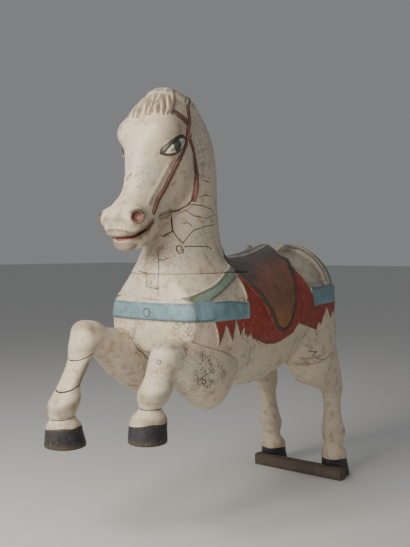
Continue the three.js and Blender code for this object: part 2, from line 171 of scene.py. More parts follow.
FLAP = [[-514, 700], [-506, 660], [-482, 636], [-459, 620], [-442, 594], [-421, 566], [-403, 538],
        [-387, 514], [-372, 504], [-356, 500], [-338, 504], [-325, 514], [-314, 528], [-300, 550],
        [-285, 577], [-271, 610], [-258, 640], [-247, 668], [-233, 692], [-222, 712], [-200, 728],
        [-172, 740], [-168, 775], [-440, 775]]
KEEPER = [[-683, 544], [-647, 545], [-647, 595], [-683, 594]]
CROUP_PANEL = [[-216, 760], [-180, 745], [-141, 722], [-122, 707], [-106, 689], [-93, 661], [-84, 634],
               [-76, 610], [-176, 610], [-190, 606], [-206, 633], [-220, 660], [-226, 690]]
PIPING = [[-500, 668], [-482, 638], [-442, 596], [-403, 540], [-382, 512], [-356, 503], [-328, 513],
          [-300, 551], [-272, 608], [-247, 666], [-216, 713]]
FRONT_HEM = [[-512, 700], [-508, 656], [-503, 632], [-506, 600]]
SEAT_RIDGE = [[0, -400, 694], [0, -330, 704], [0, -260, 717], [0, -212, 730], [0, -180, 735]]
RIM = [[54, -203, 727], [68, -176, 728], [85, -141, 722], [107, -122, 707], [121, -106, 689],
       [137, -93, 661], [146, -84, 634], [149, -76, 614]]
FRONT_FRINGE = [[-644, 548], [-628, 483], [-605, 537], [-580, 490], [-565, 546], [-549, 500], [-533, 523],
                [-518, 492], [-504, 509], [-494, 490], [-488, 548]]
REAR_FRINGE = [[-178, 560], [-151, 486], [-135, 510], [-128, 498], [-84, 551], [-64, 512], [-42, 535],
               [-24, 520], [-1, 559], [14, 532], [30, 562]]
TUFT_GROOVES = [
    [[-600, 534], [-617, 470], [-622, 415]], [[-560, 540], [-592, 478], [-618, 412]],
    [[-535, 520], [-575, 465], [-612, 405]], [[-504, 508], [-556, 452], [-606, 398]],
    [[-590, 500], [-606, 455], [-618, 410]], [[-545, 500], [-583, 450], [-612, 402]],
]
WITHER_FOLDS = [
    [[-500, 676], [-455, 683], [-400, 680]], [[-502, 690], [-450, 697], [-392, 690]],
    [[-490, 664], [-448, 668], [-410, 662]],
]

# The head's own lines, seen from the side.
HEADSTALL = [[-612, 1116], [-622, 1100], [-631, 1085], [-639, 1050], [-656, 1014], [-660, 1002]]
CHEEK_STRAP = [[-656, 1012], [-640, 988], [-616, 960], [-605, 925], [-605, 884], [-615, 852]]
MOUTH_STRAP = [[-658, 1008], [-672, 974], [-685, 945], [-699, 910], [-716, 873], [-737, 842],
               [-752, 814]]
BROW_STRAP = [[-656, 1044], [-672, 1053], [-688, 1060]]
JAW_LINE = [[-608, 900], [-610, 874], [-616, 850], [-629, 835], [-649, 823], [-683, 815], [-727, 804],
            [-760, 788]]
CREST = [[0, -622, 1132], [0, -574, 1108], [0, -535, 1072], [0, -505, 1030], [0, -487, 985],
         [0, -475, 930], [0, -476, 870], [0, -474, 810], [0, -470, 750], [0, -462, 700]]


# ---------------------------------------------------------------- curves and distances


def flowing(rows: Path, t: Array) -> Array:
    """Points on the smooth curve through rows.

    Args:
        rows: the rows it passes through, at even steps.
        t: where on the curve, from 0 to 1.

    Returns:
        One row for each t.
    """
    line = np.asarray(rows, float)
    padded = np.vstack([2 * line[0] - line[1], line, 2 * line[-1] - line[-2]])
    along = np.clip(t, 0, 1) * (len(line) - 1)
    start = np.minimum(along.astype(int), len(line) - 2)
    w = (along - start)[:, None]
    a, b, c, d = (padded[start + k] for k in range(4))
    return b + 0.5 * w * ((c - a) + w * ((2 * a - 5 * b + 4 * c - d) + w * (3 * (b - c) + d - a)))


def finer(rows: Path, per_span: int = 6) -> Array:
    """The same line with per_span points from each row to the next, smoothly curved."""
    return flowing(rows, np.linspace(0, 1, (len(rows) - 1) * per_span + 1))


def eased(t: Array) -> Array:
    """A smooth step from 0 to 1."""
    t = np.clip(t, 0, 1)
    return t * t * (3 - 2 * t)


def outline_depth(outline: Path, u: Array, v: Array) -> Array:
    """How deep points lie inside a closed outline, in mm, negative outside it.

    Args:
        outline: its corners.
        u: the points' first coordinate.
        v: their second.

    Returns:
        The depths, mm.
    """
    corners = np.asarray(outline, float)
    near = np.full(np.broadcast(u, v).shape, 1e9)
    odd = np.zeros(near.shape, bool)
    for (u0, v0), (u1, v1) in zip(corners, np.roll(corners, -1, axis=0)):
        du, dv = u1 - u0, v1 - v0
        t = np.clip(((u - u0) * du + (v - v0) * dv) / (du * du + dv * dv), 0, 1)
        near = np.minimum(near, np.hypot(u - u0 - t * du, v - v0 - t * dv))
        if v0 != v1:
            odd ^= ((v0 > v) != (v1 > v)) & (u < du * (v - v0) / dv + u0)
    return np.where(odd, near, -near)


def line_offset(path: Path, u: Array, v: Array, smooth: bool = True) -> Array:
    """Distances to an open line, in mm, signed by the side of it and positive past its ends.

    Args:
        path: the line.
        u: the points' first coordinate.
        v: their second.
        smooth: True takes the smooth curve through the path.

    Returns:
        The signed distances, mm.
    """
    line = finer(path) if smooth else np.asarray(path, float)
    near = np.full(np.broadcast(u, v).shape, 1e9)
    sign = np.ones(near.shape)
    for k, ((u0, v0), (u1, v1)) in enumerate(zip(line[:-1], line[1:])):
        du, dv = u1 - u0, v1 - v0
        t = ((u - u0) * du + (v - v0) * dv) / (du * du + dv * dv)
        past = ((t < 0) & (k == 0)) | ((t > 1) & (k == len(line) - 2))
        t = np.clip(t, 0, 1)
        gap = np.hypot(u - u0 - t * du, v - v0 - t * dv)
        closer = gap < near
        turned = np.where(past | (du * (v - v0) - dv * (u - u0) > 0), 1.0, -1.0)
        sign = np.where(closer, turned, sign)
        near = np.minimum(near, gap)
    return near * sign


def soft_min(a: Array, b: Array, blend: float) -> Array:
    """The nearer of two distances, with a fillet about blend wide where they meet.

    Args:
        a: the one.
        b: the other.
        blend: the fillet's width, mm.

    Returns:
        The joined distances.
    """
    if blend <= 0:
        return np.minimum(a, b)
    h = np.maximum(blend - np.abs(a - b), 0) / blend
    return np.minimum(a, b) - h * h * (blend * 0.25)


@dataclass(frozen=True)
class Loft:
    """A form drawn through leaning sections, as the solids are.

    Attributes:
        rows: x, y, z, lean, half width, half depth, squareness and flare of each section.
        domes: the height of the dome on each end, or 0 for a flat end.
    """

    rows: Path
    domes: tuple[float, float] = (0.0, 0.0)

    def skin(self, sides: int = 96, steps: int = 8) -> tuple[Array, Array, Array]:
        """The form's points, quads and triangles.

        Args:
            sides: points round one section.
            steps: levels from each section to the next.

        Returns:
            The points, mm, and the corners of each quad and triangle.
        """
        full = [[*row, *(2.1, 0.0)[len(row) - 6:]] for row in self.rows]
        levels = flowing(full, np.linspace(0, 1, (len(full) - 1) * steps + 1))
        turn = np.linspace(0, 2 * math.pi, sides, endpoint=False)
        loops = [self._ring(row, turn, 1, 0) for row in levels]
        for end, height, sense in ((0, self.domes[0], -1), (-1, self.domes[1], 1)):
            for u in np.sin(np.linspace(0.12, 1.5, 9)) if height else ():
                ring = self._ring(levels[end], turn, math.sqrt(1 - u * u), sense * height * u)
                if end == 0:
                    loops.insert(0, ring)
                else:
                    loops.append(ring)
        points = np.vstack([*loops, loops[0].mean(0), loops[-1].mean(0)])
        k = np.arange(sides)
        nxt = (k + 1) % sides
        low = np.arange(len(loops) - 1)[:, None] * sides
        quads = np.stack([low + k, low + nxt, low + sides + nxt, low + sides + k], -1).reshape(-1, 4)
        foot, crown, top = len(points) - 2, len(points) - 1, (len(loops) - 1) * sides
        ends = [np.stack([np.full(sides, foot), nxt, k], -1),
                np.stack([np.full(sides, crown), top + k, top + nxt], -1)]
        return points, quads, np.vstack(ends)

    @staticmethod
    def _ring(row: Array, turn: Array, keep: float, shift: float) -> Array:
        """One section's rim, shrunk about its middle by keep and moved along the form by shift.

        Args:
            row: the section.
            turn: the angles round it.
            keep: its scale.
            shift: how far it is moved, mm.

        Returns:
            One point for each angle, mm.
        """
        lean = math.radians(row[3])
        half, deep, square, flare = row[4:8]
        rounded = [np.sign(f(turn)) * np.abs(f(turn)) ** (2 / square) for f in (np.cos, np.sin)]
        depth = rounded[1]
        width = rounded[0] * (1 + flare * depth)
        y = row[1] + deep * keep * depth * math.cos(lean) - shift * math.sin(lean)
        z = row[2] + deep * keep * depth * math.sin(lean) + shift * math.cos(lean)
        return np.stack([row[0] + half * keep * width, y, z], -1)


def mirrored(rows: Path) -> list[list[float]]:
    """The same sections on the other side of the horse."""
    return [[-row[0], *row[1:]] for row in rows]


# ---------------------------------------------------------------- a block of wood being carved


class Block:
    """A block of wood under the carver's tools: distances in mm on a grid, negative inside the wood."""

    BAND = 12

    def __init__(self, low: Sequence[float], high: Sequence[float], cell: float) -> None:
        """An empty block.

        Args:
            low: its lowest corner, mm.
            high: its highest corner, mm.
            cell: the side of one cube of the grid, mm.
        """
        self.cell = cell
        self.first = np.floor(np.array(low) / cell).astype(int) - 3
        count = np.ceil(np.array(high) / cell).astype(int) + 4 - self.first
        self.axes = [(self.first[k] + np.arange(count[k])).astype(np.float32) * cell for k in range(3)]
        self.far = self.BAND * cell
        self.wood = np.full(count, self.far, np.float32)

    @property
    def grid(self) -> list[Array]:
        """The x, y and z of every cube, each along its own axis."""
        return list(np.ix_(*self.axes))

    def form(self, loft: Loft) -> Array:
        """A loft's distances over the whole block.

        Args:
            loft: the form.

        Returns:
            The distances, mm.
        """
        points, quads, triangles = loft.skin()
        volume = vdb.FloatGrid.createLevelSetFromPolygons(
            points.astype(np.float32),
            triangles=triangles.astype(np.uint32),
            quads=quads.astype(np.uint32),
            transform=vdb.createLinearTransform(voxelSize=self.cell),
            halfWidth=self.BAND,
        )
        out = np.full(self.wood.shape, self.far, np.float32)
        volume.copyToArray(out, ijk=tuple(int(i) for i in self.first))
        return out

    def add(self, shape: Array, blend: float = 0.0, where: tuple = ...) -> None:
        """Joins a shape to the wood, with a fillet about blend wide."""
        self.wood[where] = soft_min(self.wood[where], shape, blend)

    def cut(self, shape: Array, blend: float = 0.0, where: tuple = ...) -> None:
        """Cuts a shape out of the wood, with an edge eased over about blend."""
        self.wood[where] = -soft_min(-self.wood[where], shape, blend)

    def window(self, low: Array, high: Array) -> tuple[tuple, list[Array]]:
        """The part of the block between two corners, as slices and its x, y and z, which may be empty.

        Args:
            low: the lowest corner, mm.
            high: the highest corner, mm.

        Returns:
            The slices and the axes.
        """
        ends = (np.searchsorted(axis, (low[k], high[k])) for k, axis in enumerate(self.axes))
        cut = tuple(slice(int(start), int(stop)) for start, stop in ends)
        return cut, list(np.ix_(*(axis[s] for axis, s in zip(self.axes, cut))))

    def ball(self, centre: Sequence[float], radii: Sequence[float], blend: float = 8.0, tilt: float = 0.0,
             cut: bool = False) -> None:
        """Adds or cuts an ellipsoid.

        Args:
            centre: its middle, mm.
            radii: its three half sizes, mm.
            blend: the width of the fillet, mm.
            tilt: how far it is turned about the X axis, degrees.
            cut: True takes it out of the wood.
        """
        middle = np.array(centre, float)
        reach = max(radii) + blend + 3 * self.cell
        where, (x, y, z) = self.window(middle - reach, middle + reach)
        s, c = math.sin(math.radians(tilt)), math.cos(math.radians(tilt))
        dy, dz = y - middle[1], z - middle[2]
        local = (x - middle[0], c * dy + s * dz, c * dz - s * dy)
        near = np.sqrt(sum((p / r) ** 2 for p, r in zip(local, radii)))
        slope = np.sqrt(sum((p / r**2) ** 2 for p, r in zip(local, radii)))
        shape = (near * (near - 1) / np.maximum(slope, 1e-6)).astype(np.float32)
        (self.cut if cut else self.add)(shape, blend, where)

    def bead(self, points: Path, radius: float, blend: float = 3.0, cut: bool = False,
             taper: float = 0.5) -> None:
        """Adds or cuts a round bead along a smooth line, thinned to taper of its radius at the ends.

        Args:
            points: the line, mm.
            radius: its radius, mm.
            blend: the width of the fillet, mm.
            cut: True takes it out of the wood.
            taper: the share of the radius left at the ends.
        """
        line = finer(points)
        run = np.concatenate([[0], np.cumsum(np.linalg.norm(np.diff(line, axis=0), axis=1))])
        from_end = np.minimum(run, run[-1] - run) / (2.5 * radius)
        thick = radius * (taper + (1 - taper) * eased(from_end))
        reach = radius + blend + 2 * self.cell
        where, _ = self.window(line.min(0) - reach, line.max(0) + reach)
        shape = np.full([s.stop - s.start for s in where], self.far, np.float32)
        if not shape.size:
            return
        for a, b, ra, rb in zip(line[:-1], line[1:], thick[:-1], thick[1:]):
            part, (x, y, z) = self.window(np.minimum(a, b) - reach, np.maximum(a, b) + reach)
            if not all(s.stop > s.start for s in part):
                continue
            inner = tuple(slice(p.start - w.start, p.stop - w.start) for p, w in zip(part, where))
            e = b - a
            t = np.clip(((x - a[0]) * e[0] + (y - a[1]) * e[1] + (z - a[2]) * e[2]) / (e @ e), 0, 1)
            gap = np.sqrt((x - a[0] - t * e[0]) ** 2 + (y - a[1] - t * e[1]) ** 2
                          + (z - a[2] - t * e[2]) ** 2)
            shape[inner] = np.minimum(shape[inner], gap - (ra + (rb - ra) * t))
        (self.cut if cut else self.add)(shape, blend, where)

    def lift(self, height: Array) -> None:
        """Raises the surface by a height map in mm, or sinks it where that is negative."""
        self.wood -= height.astype(np.float32)

    def strip(self, path: Path, half: float, height: float, soft: float = 3.0, view: View = View.SIDE,
              side: Side = Side.BOTH) -> None:
        """Raises, or with a negative height sinks, a strip along a line.

        Args:
            path: the line in that view, mm.
            half: half the strip's width, mm.
            height: how far it stands proud, mm.
            soft: the width of its edge, mm.
            view: the projection that the line is drawn in.
            side: the side of the horse that it is on.
        """
        u, v = (self.grid[k] for k in view.value)
        rise = height * eased((half - np.abs(line_offset(path, u, v))) / soft + 0.5)
        if side is not Side.BOTH:
            rise = rise * eased(self.grid[0] * side.value / 10 + 0.5)
        self.lift(rise)

    def roughen(self, amount: float, grain: Sequence[float], seed: int) -> None:
        """Waves the surface by up to amount mm, in lumps of the given length along each axis.

        Args:
            amount: the height of the waves, mm.
            grain: the lumps' length along each axis, mm.
            seed: the seed of the noise.
        """
        noise = np.random.default_rng(seed).uniform(
            -1, 1, [int((a[-1] - a[0]) / g) + 3 for a, g in zip(self.axes, grain)]).astype(np.float32)
        for k in range(3):
            at = (self.axes[k] - self.axes[k][0]) / grain[k]
            low = at.astype(int)
            w = eased(at - low).reshape([-1 if j == k else 1 for j in range(3)]).astype(np.float32)
            noise = np.take(noise, low, k) * (1 - w) + np.take(noise, low + 1, k) * w
        self.wood += amount * noise

    def at(self, values: Array, points: Array) -> Array:
        """Values from the grid at points in mm, blended between the cubes around each.

        Args:
            values: one value for each cube.
            points: the points, mm.

        Returns:
            One value for each point.
        """
        place = (points - self.first * self.cell) / self.cell
        low = np.clip(place.astype(int), 0, np.array(values.shape) - 2)
        w = np.clip(place - low, 0, 1)
        total = np.zeros(len(points))
        for corner in np.ndindex(2, 2, 2):
            share = np.prod(np.where(corner, w, 1 - w), axis=1)
            total += share * values[tuple((low + corner).T)]
        return total

    def hit(self, start: Sequence[float], towards: Sequence[float]) -> Array:
        """Where a straight line from start first meets the wood.

        Args:
            start: its start, mm.
            towards: its end, mm.

        Returns:
            The point, mm.
        """
        steps = np.linspace(0, 1, 400)[:, None]
        line = np.array(start, float) * (1 - steps) + np.array(towards, float) * steps
        inside = self.at(self.wood, line) < 0
        return line[int(np.argmax(inside))]

    def hollows(self, form: Array, reach: float = 8.0) -> Array:
        """How hollow a form is around each cube: over 0 in a hollow, under 0 on a ridge.

        Args:
            form: the form's distances, mm.
            reach: how far around it is compared, mm.

        Returns:
            The hollowness, mm.
        """
        blurred = form
        n = max(1, round(reach / self.cell))
        for k in range(3):
            wide = np.pad(blurred, [(n + 1, n) if j == k else (0, 0) for j in range(3)], mode="edge")
            total = np.cumsum(wide, axis=k, dtype=np.float64)
            size = blurred.shape[k]
            after = np.take(total, np.arange(2 * n + 1, 2 * n + 1 + size), k)
            blurred = ((after - np.take(total, np.arange(size), k)) / (2 * n + 1)).astype(np.float32)
        return form - blurred

    def skin(self, name: str) -> bpy.types.Object:
        """The block's surface as a smooth mesh object, thinned to the triangles that a piece may have.

        Args:
            name: the object's name.

        Returns:
            The object, linked to the scene.
        """
        volume = vdb.FloatGrid(self.far)
        volume.copyFromArray(self.wood, ijk=tuple(int(i) for i in self.first))
        volume.transform = vdb.createLinearTransform(voxelSize=self.cell)
        points, triangles, quads = volume.convertToPolygons(adaptivity=0.0)
        faces = np.concatenate([triangles.ravel(), quads.ravel()]).astype(np.int32)
        starts = np.concatenate([np.arange(len(triangles)) * 3,
                                 len(triangles) * 3 + np.arange(len(quads)) * 4]).astype(np.int32)
        mesh = bpy.data.meshes.new(name)
        mesh.vertices.add(len(points))
        mesh.vertices.foreach_set("co", (points * MM).astype(np.float32).ravel())
        mesh.loops.add(len(faces))
        mesh.loops.foreach_set("vertex_index", faces)
        mesh.polygons.add(len(starts))
        mesh.polygons.foreach_set("loop_start", starts)
        mesh.update(calc_edges=True)
        mesh.validate()
        obj = bpy.data.objects.new(name, mesh)
        bpy.context.scene.collection.objects.link(obj)
        if signed_volume(mesh) < 0:
            mesh.flip_normals()
        count = len(triangles) + 2 * len(quads)
        if count > PIECE_TRIANGLES:
            thin = obj.modifiers.new("thin", "DECIMATE")
            thin.ratio = PIECE_TRIANGLES / count
            done = bpy.data.meshes.new_from_object(obj.evaluated_get(bpy.context.evaluated_depsgraph_get()))
            obj.modifiers.clear()
            obj.data = done
            bpy.data.meshes.remove(mesh)
            done.name = name
        obj.data.polygons.foreach_set("use_smooth", np.ones(len(obj.data.polygons), bool))
        return obj


def signed_volume(mesh: bpy.types.Mesh) -> float:
    """A closed mesh's volume, negative where its faces point inwards.

    Args:
        mesh: the mesh.

    Returns:
        The volume, cubic mm.
    """
    mesh.calc_loop_triangles()
    corners = np.empty(len(mesh.loop_triangles) * 3, np.int32)
    mesh.loop_triangles.foreach_get("vertices", corners)
    a, b, c = vertices_of(mesh)[corners.reshape(-1, 3)].transpose(1, 0, 2)
    return float(np.einsum("ij,ij->i", a, np.cross(b, c)).sum() / 6)


def vertices_of(mesh: bpy.types.Mesh) -> Array:
    """A mesh's points, in mm.

    Args:
        mesh: the mesh.

    Returns:
        One row for each point.
    """
    points = np.empty(len(mesh.vertices) * 3, np.float32)
    mesh.vertices.foreach_get("co", points)
    return points.reshape(-1, 3) / MM


# ---------------------------------------------------------------- cracks and worn places


@dataclass(frozen=True)
class Crack:
    """An open line in the paint and the wood under it.

    Attributes:
        path: the line in its view, mm.
        view: the projection that it is drawn in.
        side: the side of the horse that it is on.
        deep: how deep it is carved, mm, or 0 where only the paint has split.
    """

    path: Path
    view: View = View.SIDE
    side: Side = Side.LEFT
    deep: float = 0.0

    def offset(self, points: Array) -> Array:
        """Distances from points to the crack, signed by its side.

        Args:
            points: the points, mm.

        Returns:
            The distances, mm, and AWAY on the other side of the horse.
        """
        gap = line_offset(self.path, points[:, self.view.value[0]], points[:, self.view.value[1]], False)
        across = 1 if self.view is View.FRONT else 0
        wrong = points[:, 1] > NECK_FRONT if across else points[:, 0] * self.side.value < 0
        return np.where(wrong, AWAY, gap)


CHEST_CRACK = Crack([[-33, 669], [0, 664], [3, 631], [38, 625]], View.FRONT, deep=1.5)
JAW_CRACK = [[-615, 852], [-616, 850], [-629, 835], [-649, 823], [-683, 815], [-727, 806]]
NECK_CRACKS = (
    Crack([[-665, 810], [-670, 771], [-666, 752], [-658, 740]]),
    Crack([[-658, 740], [-625, 772], [-583, 783], [-543, 788]]),
    Crack([[-623, 839], [-585, 836], [-550, 829], [-531, 813]], deep=0.8),
    Crack([[-639, 824], [-617, 809], [-573, 804], [-544, 813]]),
    Crack([[-664, 733], [-660, 726], [-662, 716], [-670, 713], [-674, 720], [-672, 730], [-664, 733]],
          deep=2.0),
    Crack([[-653, 731], [-612, 731], [-584, 730], [-566, 725]], deep=2.2),
    Crack([[24, 700], [38, 696], [49, 702]], View.FRONT),
    Crack([[18, 720], [36, 670], [40, 623]], View.FRONT),
    CHEST_CRACK,
    Crack([[-582, 903], [-565, 900], [-537, 900]]),
    Crack([[-595, 860], [-571, 864], [-537, 863]]),
    Crack([[-649, 788], [-639, 792], [-628, 784]]),
    Crack([[-670, 770], [-680, 762], [-684, 756]]),
    *(Crack(JAW_CRACK, side=side, deep=1.8) for side in (Side.LEFT, Side.RIGHT)),
    Crack([[-7, 905], [2, 909], [-2, 899], [-11, 893], [-7, 905]], View.FRONT, deep=0.8),
)
BODY_CRACKS = (
    CHEST_CRACK,
    Crack([[17, 647], [19, 636]], View.FRONT, deep=1.5),
    Crack([[36, 670], [40, 623]], View.FRONT),
    Crack([[-11, 602], [11, 599], [41, 599]], View.FRONT),
    Crack([[-183, 424], [-160, 421], [-174, 412], [-158, 401], [-129, 394], [-86, 413]], deep=1.5),
)


def plug(u: float, v: float, radius: float, view: View = View.SIDE) -> Crack:
    """The round outline of a filled hole or a boss."""
    turn = np.linspace(0, 2 * math.pi, 13)
    return Crack([[u + radius * math.cos(t), v + radius * math.sin(t)] for t in turn], view, deep=0.8)


ROSETTE = plug(4, 565, 11, View.FRONT)
LEFT_LEG_PLUGS = (plug(112, 459, 5, View.FRONT), plug(-665, 426, 5.5), plug(-692, 402, 5))


def crack_field(cracks: Sequence[Crack], points: Array) -> Array:
    """The signed distance to the nearest of several cracks, mm.

    Args:
        cracks: the cracks.
        points: the points, mm.

    Returns:
        One distance for each point.
    """
    field_values = np.full(len(points), AWAY)
    for crack in cracks:
        gap = crack.offset(points)
        field_values = np.where(np.abs(gap) < np.abs(field_values), gap, field_values)
    return field_values


def carve_cracks(block: Block, cracks: Sequence[Crack]) -> None:
    """Sinks the deep cracks into a block.

    Args:
        block: the block.
        cracks: the cracks.
    """
    for crack in cracks:
        if crack.deep:
            u, v = (block.grid[k] for k in crack.view.value)
            sink = crack.deep * eased(1 - np.abs(line_offset(crack.path, u, v, False)) / 3.5)
            if crack.view is View.FRONT:
                here = block.grid[1] < NECK_FRONT
            else:
                here = block.grid[0] * crack.side.value > 0
            block.lift(-sink * here)


def store(obj: bpy.types.Object, name: str, values: Array) -> None:
    """Keeps one number for each point of a mesh, for its material to read."""
    layer = obj.data.attributes.new(name, "FLOAT", "POINT")
    layer.data.foreach_set("value", np.clip(values, -AWAY, AWAY).astype(np.float32))


def keep(wood: Array, shape: Array, blend: float = 0.0) -> Array:
    """The wood that also lies inside a shape, with an edge eased over about blend."""
    return -soft_min(-wood, -shape, blend)


def outer_box(block: Block) -> Array:
    """Distances to the solids' own box, just inside it.

    Args:
        block: the block.

    Returns:
        The distances, mm.
    """
    low, high = (np.array(corner) / MM for corner in CAD_BOX)
    x, y, z = block.grid
    sides = [low[0] - x, x - high[0], low[1] - y, y - high[1], low[2] - z, z - high[2]]
    return np.maximum.reduce(np.broadcast_arrays(*sides)) + 0.1


def trimmed(block: Block) -> None:
    """Keeps a block inside the solids' own box."""
    block.wood = np.maximum(block.wood, outer_box(block)).astype(np.float32)


def fit(obj: bpy.types.Object, node: str, finish: "PaintedWood") -> bpy.types.Object:
    """Dresses a piece, hangs it on the root body and hides the solid that it stands for.

    Args:
        obj: the piece.
        node: the solid that it stands for.
        finish: what it is finished with.

    Returns:
        The piece.
    """
    obj.data.materials.clear()
    obj.data.materials.append(finish.material())
    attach(obj, "root")
    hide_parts(node)
    points = vertices_of(obj.data)
    low, high = (np.array(corner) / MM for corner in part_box(node))
    off = np.abs(np.concatenate([points.min(0) - low, points.max(0) - high])).max()
    log.info("%s: %d faces, stands for %s, box within %.1f mm of it",
             obj.name, len(obj.data.polygons), node, off)
    return obj


# ---------------------------------------------------------------- paint


def linear(colour: str) -> tuple[float, float, float, float]:
    """An sRGB hex colour as linear RGBA.

    Args:
        colour: the colour, as #rrggbb.

    Returns:
        Its red, green, blue and alpha.
    """
    parts = [int(colour[k:k + 2], 16) / 255 for k in (1, 3, 5)]
    r, g, b = (c / 12.92 if c <= 0.04045 else ((c + 0.055) / 1.055) ** 2.4 for c in parts)
    return r, g, b, 1.0


def put(tree: Tree, kind: str, inputs: dict | None = None,
        **settings: str | bool | float) -> bpy.types.Node:
    """Adds a shader node.

    Args:
        tree: the tree that it goes in.
        kind: its type after ShaderNode.
        inputs: a value or a socket for each of its inputs, by name or place.
        settings: its own properties.

    Returns:
        The node.
    """
    made = tree.nodes.new("ShaderNode" + kind)
    for key, value in settings.items():
        setattr(made, key, value)
    for key, value in (inputs or {}).items():
        if isinstance(value, Socket):
            tree.links.new(value, made.inputs[key])
        else:
            made.inputs[key].default_value = value
    return made


@dataclass(frozen=True)
class Coat:
    """One colour laid over the ground coat.

    Attributes:
        mark: the mesh attribute with how deep a point lies inside its outline, mm.
        colour: the paint.
        faded: the same paint where it is thin or dirty.
        soft: the width of its edge, mm.
        worn: how much of it has rubbed off, 0 to 1.
    """

    mark: str
    colour: str
    faded: str
    soft: float = 1.0
    worn: float = 0.35


@dataclass(frozen=True)
class PaintedWood:
    """Old oil paint brushed on carved wood: crackled, chipped on its arrises, with dirt and painted shade in
    hollows.

    Attributes:
        name: the material's name.
        coats: the colours over the ground coat, from the lowest up.
        ground: the ground coat's colour, its cleaner and its yellowed variation.
        bare: the wood where the paint is gone.
        chips: how much of the ground coat is gone, 0 to 1.
        dirt: how strongly hollows are darkened by dirt and painted shade, and open faces by a film of dirt, 0
            to 1.
        gloss: the roughness of whole paint.
        soil_and_shade: the colour of the dirt and painted shade in hollows, and of the film of dirt on open
            faces.
        split: the dark inside cracks.
        crackle: each net's cell and line width, mm, the cloud that it starts and is whole at, and its
            strength.
    """

    name: str
    coats: tuple[Coat, ...] = ()
    ground: tuple[str, str, str] = ("#d0c2aa", "#dbcfba", "#a58c64")
    bare: str = "#8a7355"
    chips: float = 0.4
    dirt: float = 0.7
    gloss: float = 0.42
    soil_and_shade: str = "#554938"
    split: str = "#2a221b"
    crackle: tuple[tuple[float, ...], ...] = ((75, 0.5, 0.42, 0.56, 0.75), (22, 0.35, 0.47, 0.62, 0.5))

    def material(self) -> bpy.types.Material:
        """The material, made once and then shared.

        Returns:
            The material.
        """
        known = bpy.data.materials.get(self.name)
        if known:
            return known
        made = bpy.data.materials.new(self.name)
        made.use_nodes = True
        tree = made.node_tree
        tree.nodes.clear()
        place = put(tree, "TexCoord").outputs["Object"]
        cloud = self._noise(tree, place, 9, 3)
        mottle = self._noise(tree, place, 42, 4)
        speck = self._noise(tree, place, 170, 3)
        hollow = self._mark(tree, "hollow")
        grime = self._mark(tree, "grime")
        # Cloudy yellowing over a cleaner ground keeps the cream from looking like one flat coat.
        cleaner = self._ramp(tree, cloud, 0.42, 0.6)
        colour = self._mix(tree, cleaner, linear(self.ground[0]), linear(self.ground[1]))
        stain = self._math(tree, "MULTIPLY", self._ramp(tree, mottle, 0.5, 0.7), 0.6)
        colour = self._mix(tree, stain, colour, linear(self.ground[2]))
        for coat in self.coats:
            colour = self._laid(tree, coat, colour, mottle, speck)
        # Arrises stand out of the form, so the paint goes from them first and the wood shows.
        proud = self._ramp(tree, hollow, -0.35, -1.1)
        gone = self._math(tree, "ADD", self._math(tree, "MULTIPLY", proud, 0.16), speck)
        edge = 0.79 - 0.12 * self.chips
        chipped = self._ramp(tree, gone, edge, edge + 0.03)
        colour = self._mix(tree, self._math(tree, "MULTIPLY", chipped, 0.8), colour, linear(self.bare))
        # Dirt and painted shade: hollows are darkened towards the soil colour, for the dirt settled in them
        # and for the shade that falls there.
        hollow_dirt_and_shade = self._math(tree, "MULTIPLY", self._ramp(tree, hollow, 0.15, 1.3), self.dirt)
        stipple = self._math(tree, "MULTIPLY", self._ramp(tree, speck, 0.44, 0.58),
                             self._ramp(tree, mottle, 0.3, 0.55))
        dirty = self._math(tree, "MAXIMUM", hollow_dirt_and_shade, self._math(tree, "MULTIPLY", grime, stipple))
        film = self._math(tree, "MULTIPLY", self._ramp(tree, speck, 0.46, 0.72),
                          self._ramp(tree, cloud, 0.4, 0.62))
        dirty = self._math(tree, "MAXIMUM", dirty, self._math(tree, "MULTIPLY", film, 0.6 * self.dirt))
        # The dirt and painted shade in hollows, the dirty spots and the film of dirt all darken the paint
        # here.
        colour = self._mix(tree, dirty, colour, linear(self.soil_and_shade))
        lines = self._lines(tree, place, mottle, cloud)
        colour = self._mix(tree, lines, colour, linear(self.split))
        rough = put(tree, "MapRange", {
            "Value": mottle, "To Min": self.gloss - 0.07, "To Max": self.gloss + 0.16})
        depth = self._math(tree, "ADD", self._math(tree, "MULTIPLY", lines, -1.0),
                           self._math(tree, "MULTIPLY", mottle, 0.35))
        depth = self._math(tree, "ADD", depth, self._math(tree, "MULTIPLY", chipped, -0.5))
        bump = put(tree, "Bump", {"Strength": 0.55, "Distance": 0.001, "Height": depth})
        shader = put(tree, "BsdfPrincipled", {
            "Base Color": colour, "Roughness": rough.outputs[0], "IOR": 1.48, "Normal": bump.outputs[0]})
        put(tree, "OutputMaterial", {"Surface": shader.outputs[0]})
        return made

    def _laid(self, tree: Tree, coat: Coat, under: Socket, mottle: Socket, speck: Socket) -> Socket:
        """One coat over what is under it, with a hand-drawn edge and rubbed places.

        Args:
            tree: the material's nodes.
            coat: the coat.
            under: the colour under it.
            mottle: the noise that its edge wanders with.
            speck: the noise that it is rubbed off by.

        Returns:
            The colour.
        """
        wander = self._math(tree, "MULTIPLY", self._math(tree, "SUBTRACT", mottle, 0.5),
                            4.0 * min(coat.soft, 1.5))
        deep = self._math(tree, "ADD", self._mark(tree, coat.mark), wander)
        inside = self._ramp(tree, deep, -coat.soft / 2, coat.soft / 2)
        left = 0.74 - 0.16 * coat.worn
        whole = self._ramp(tree, speck, left + 0.05, left)
        shade = self._mix(tree, self._ramp(tree, mottle, 0.35, 0.68), linear(coat.colour), linear(coat.faded))
        return self._mix(tree, self._math(tree, "MULTIPLY", inside, whole), under, shade)

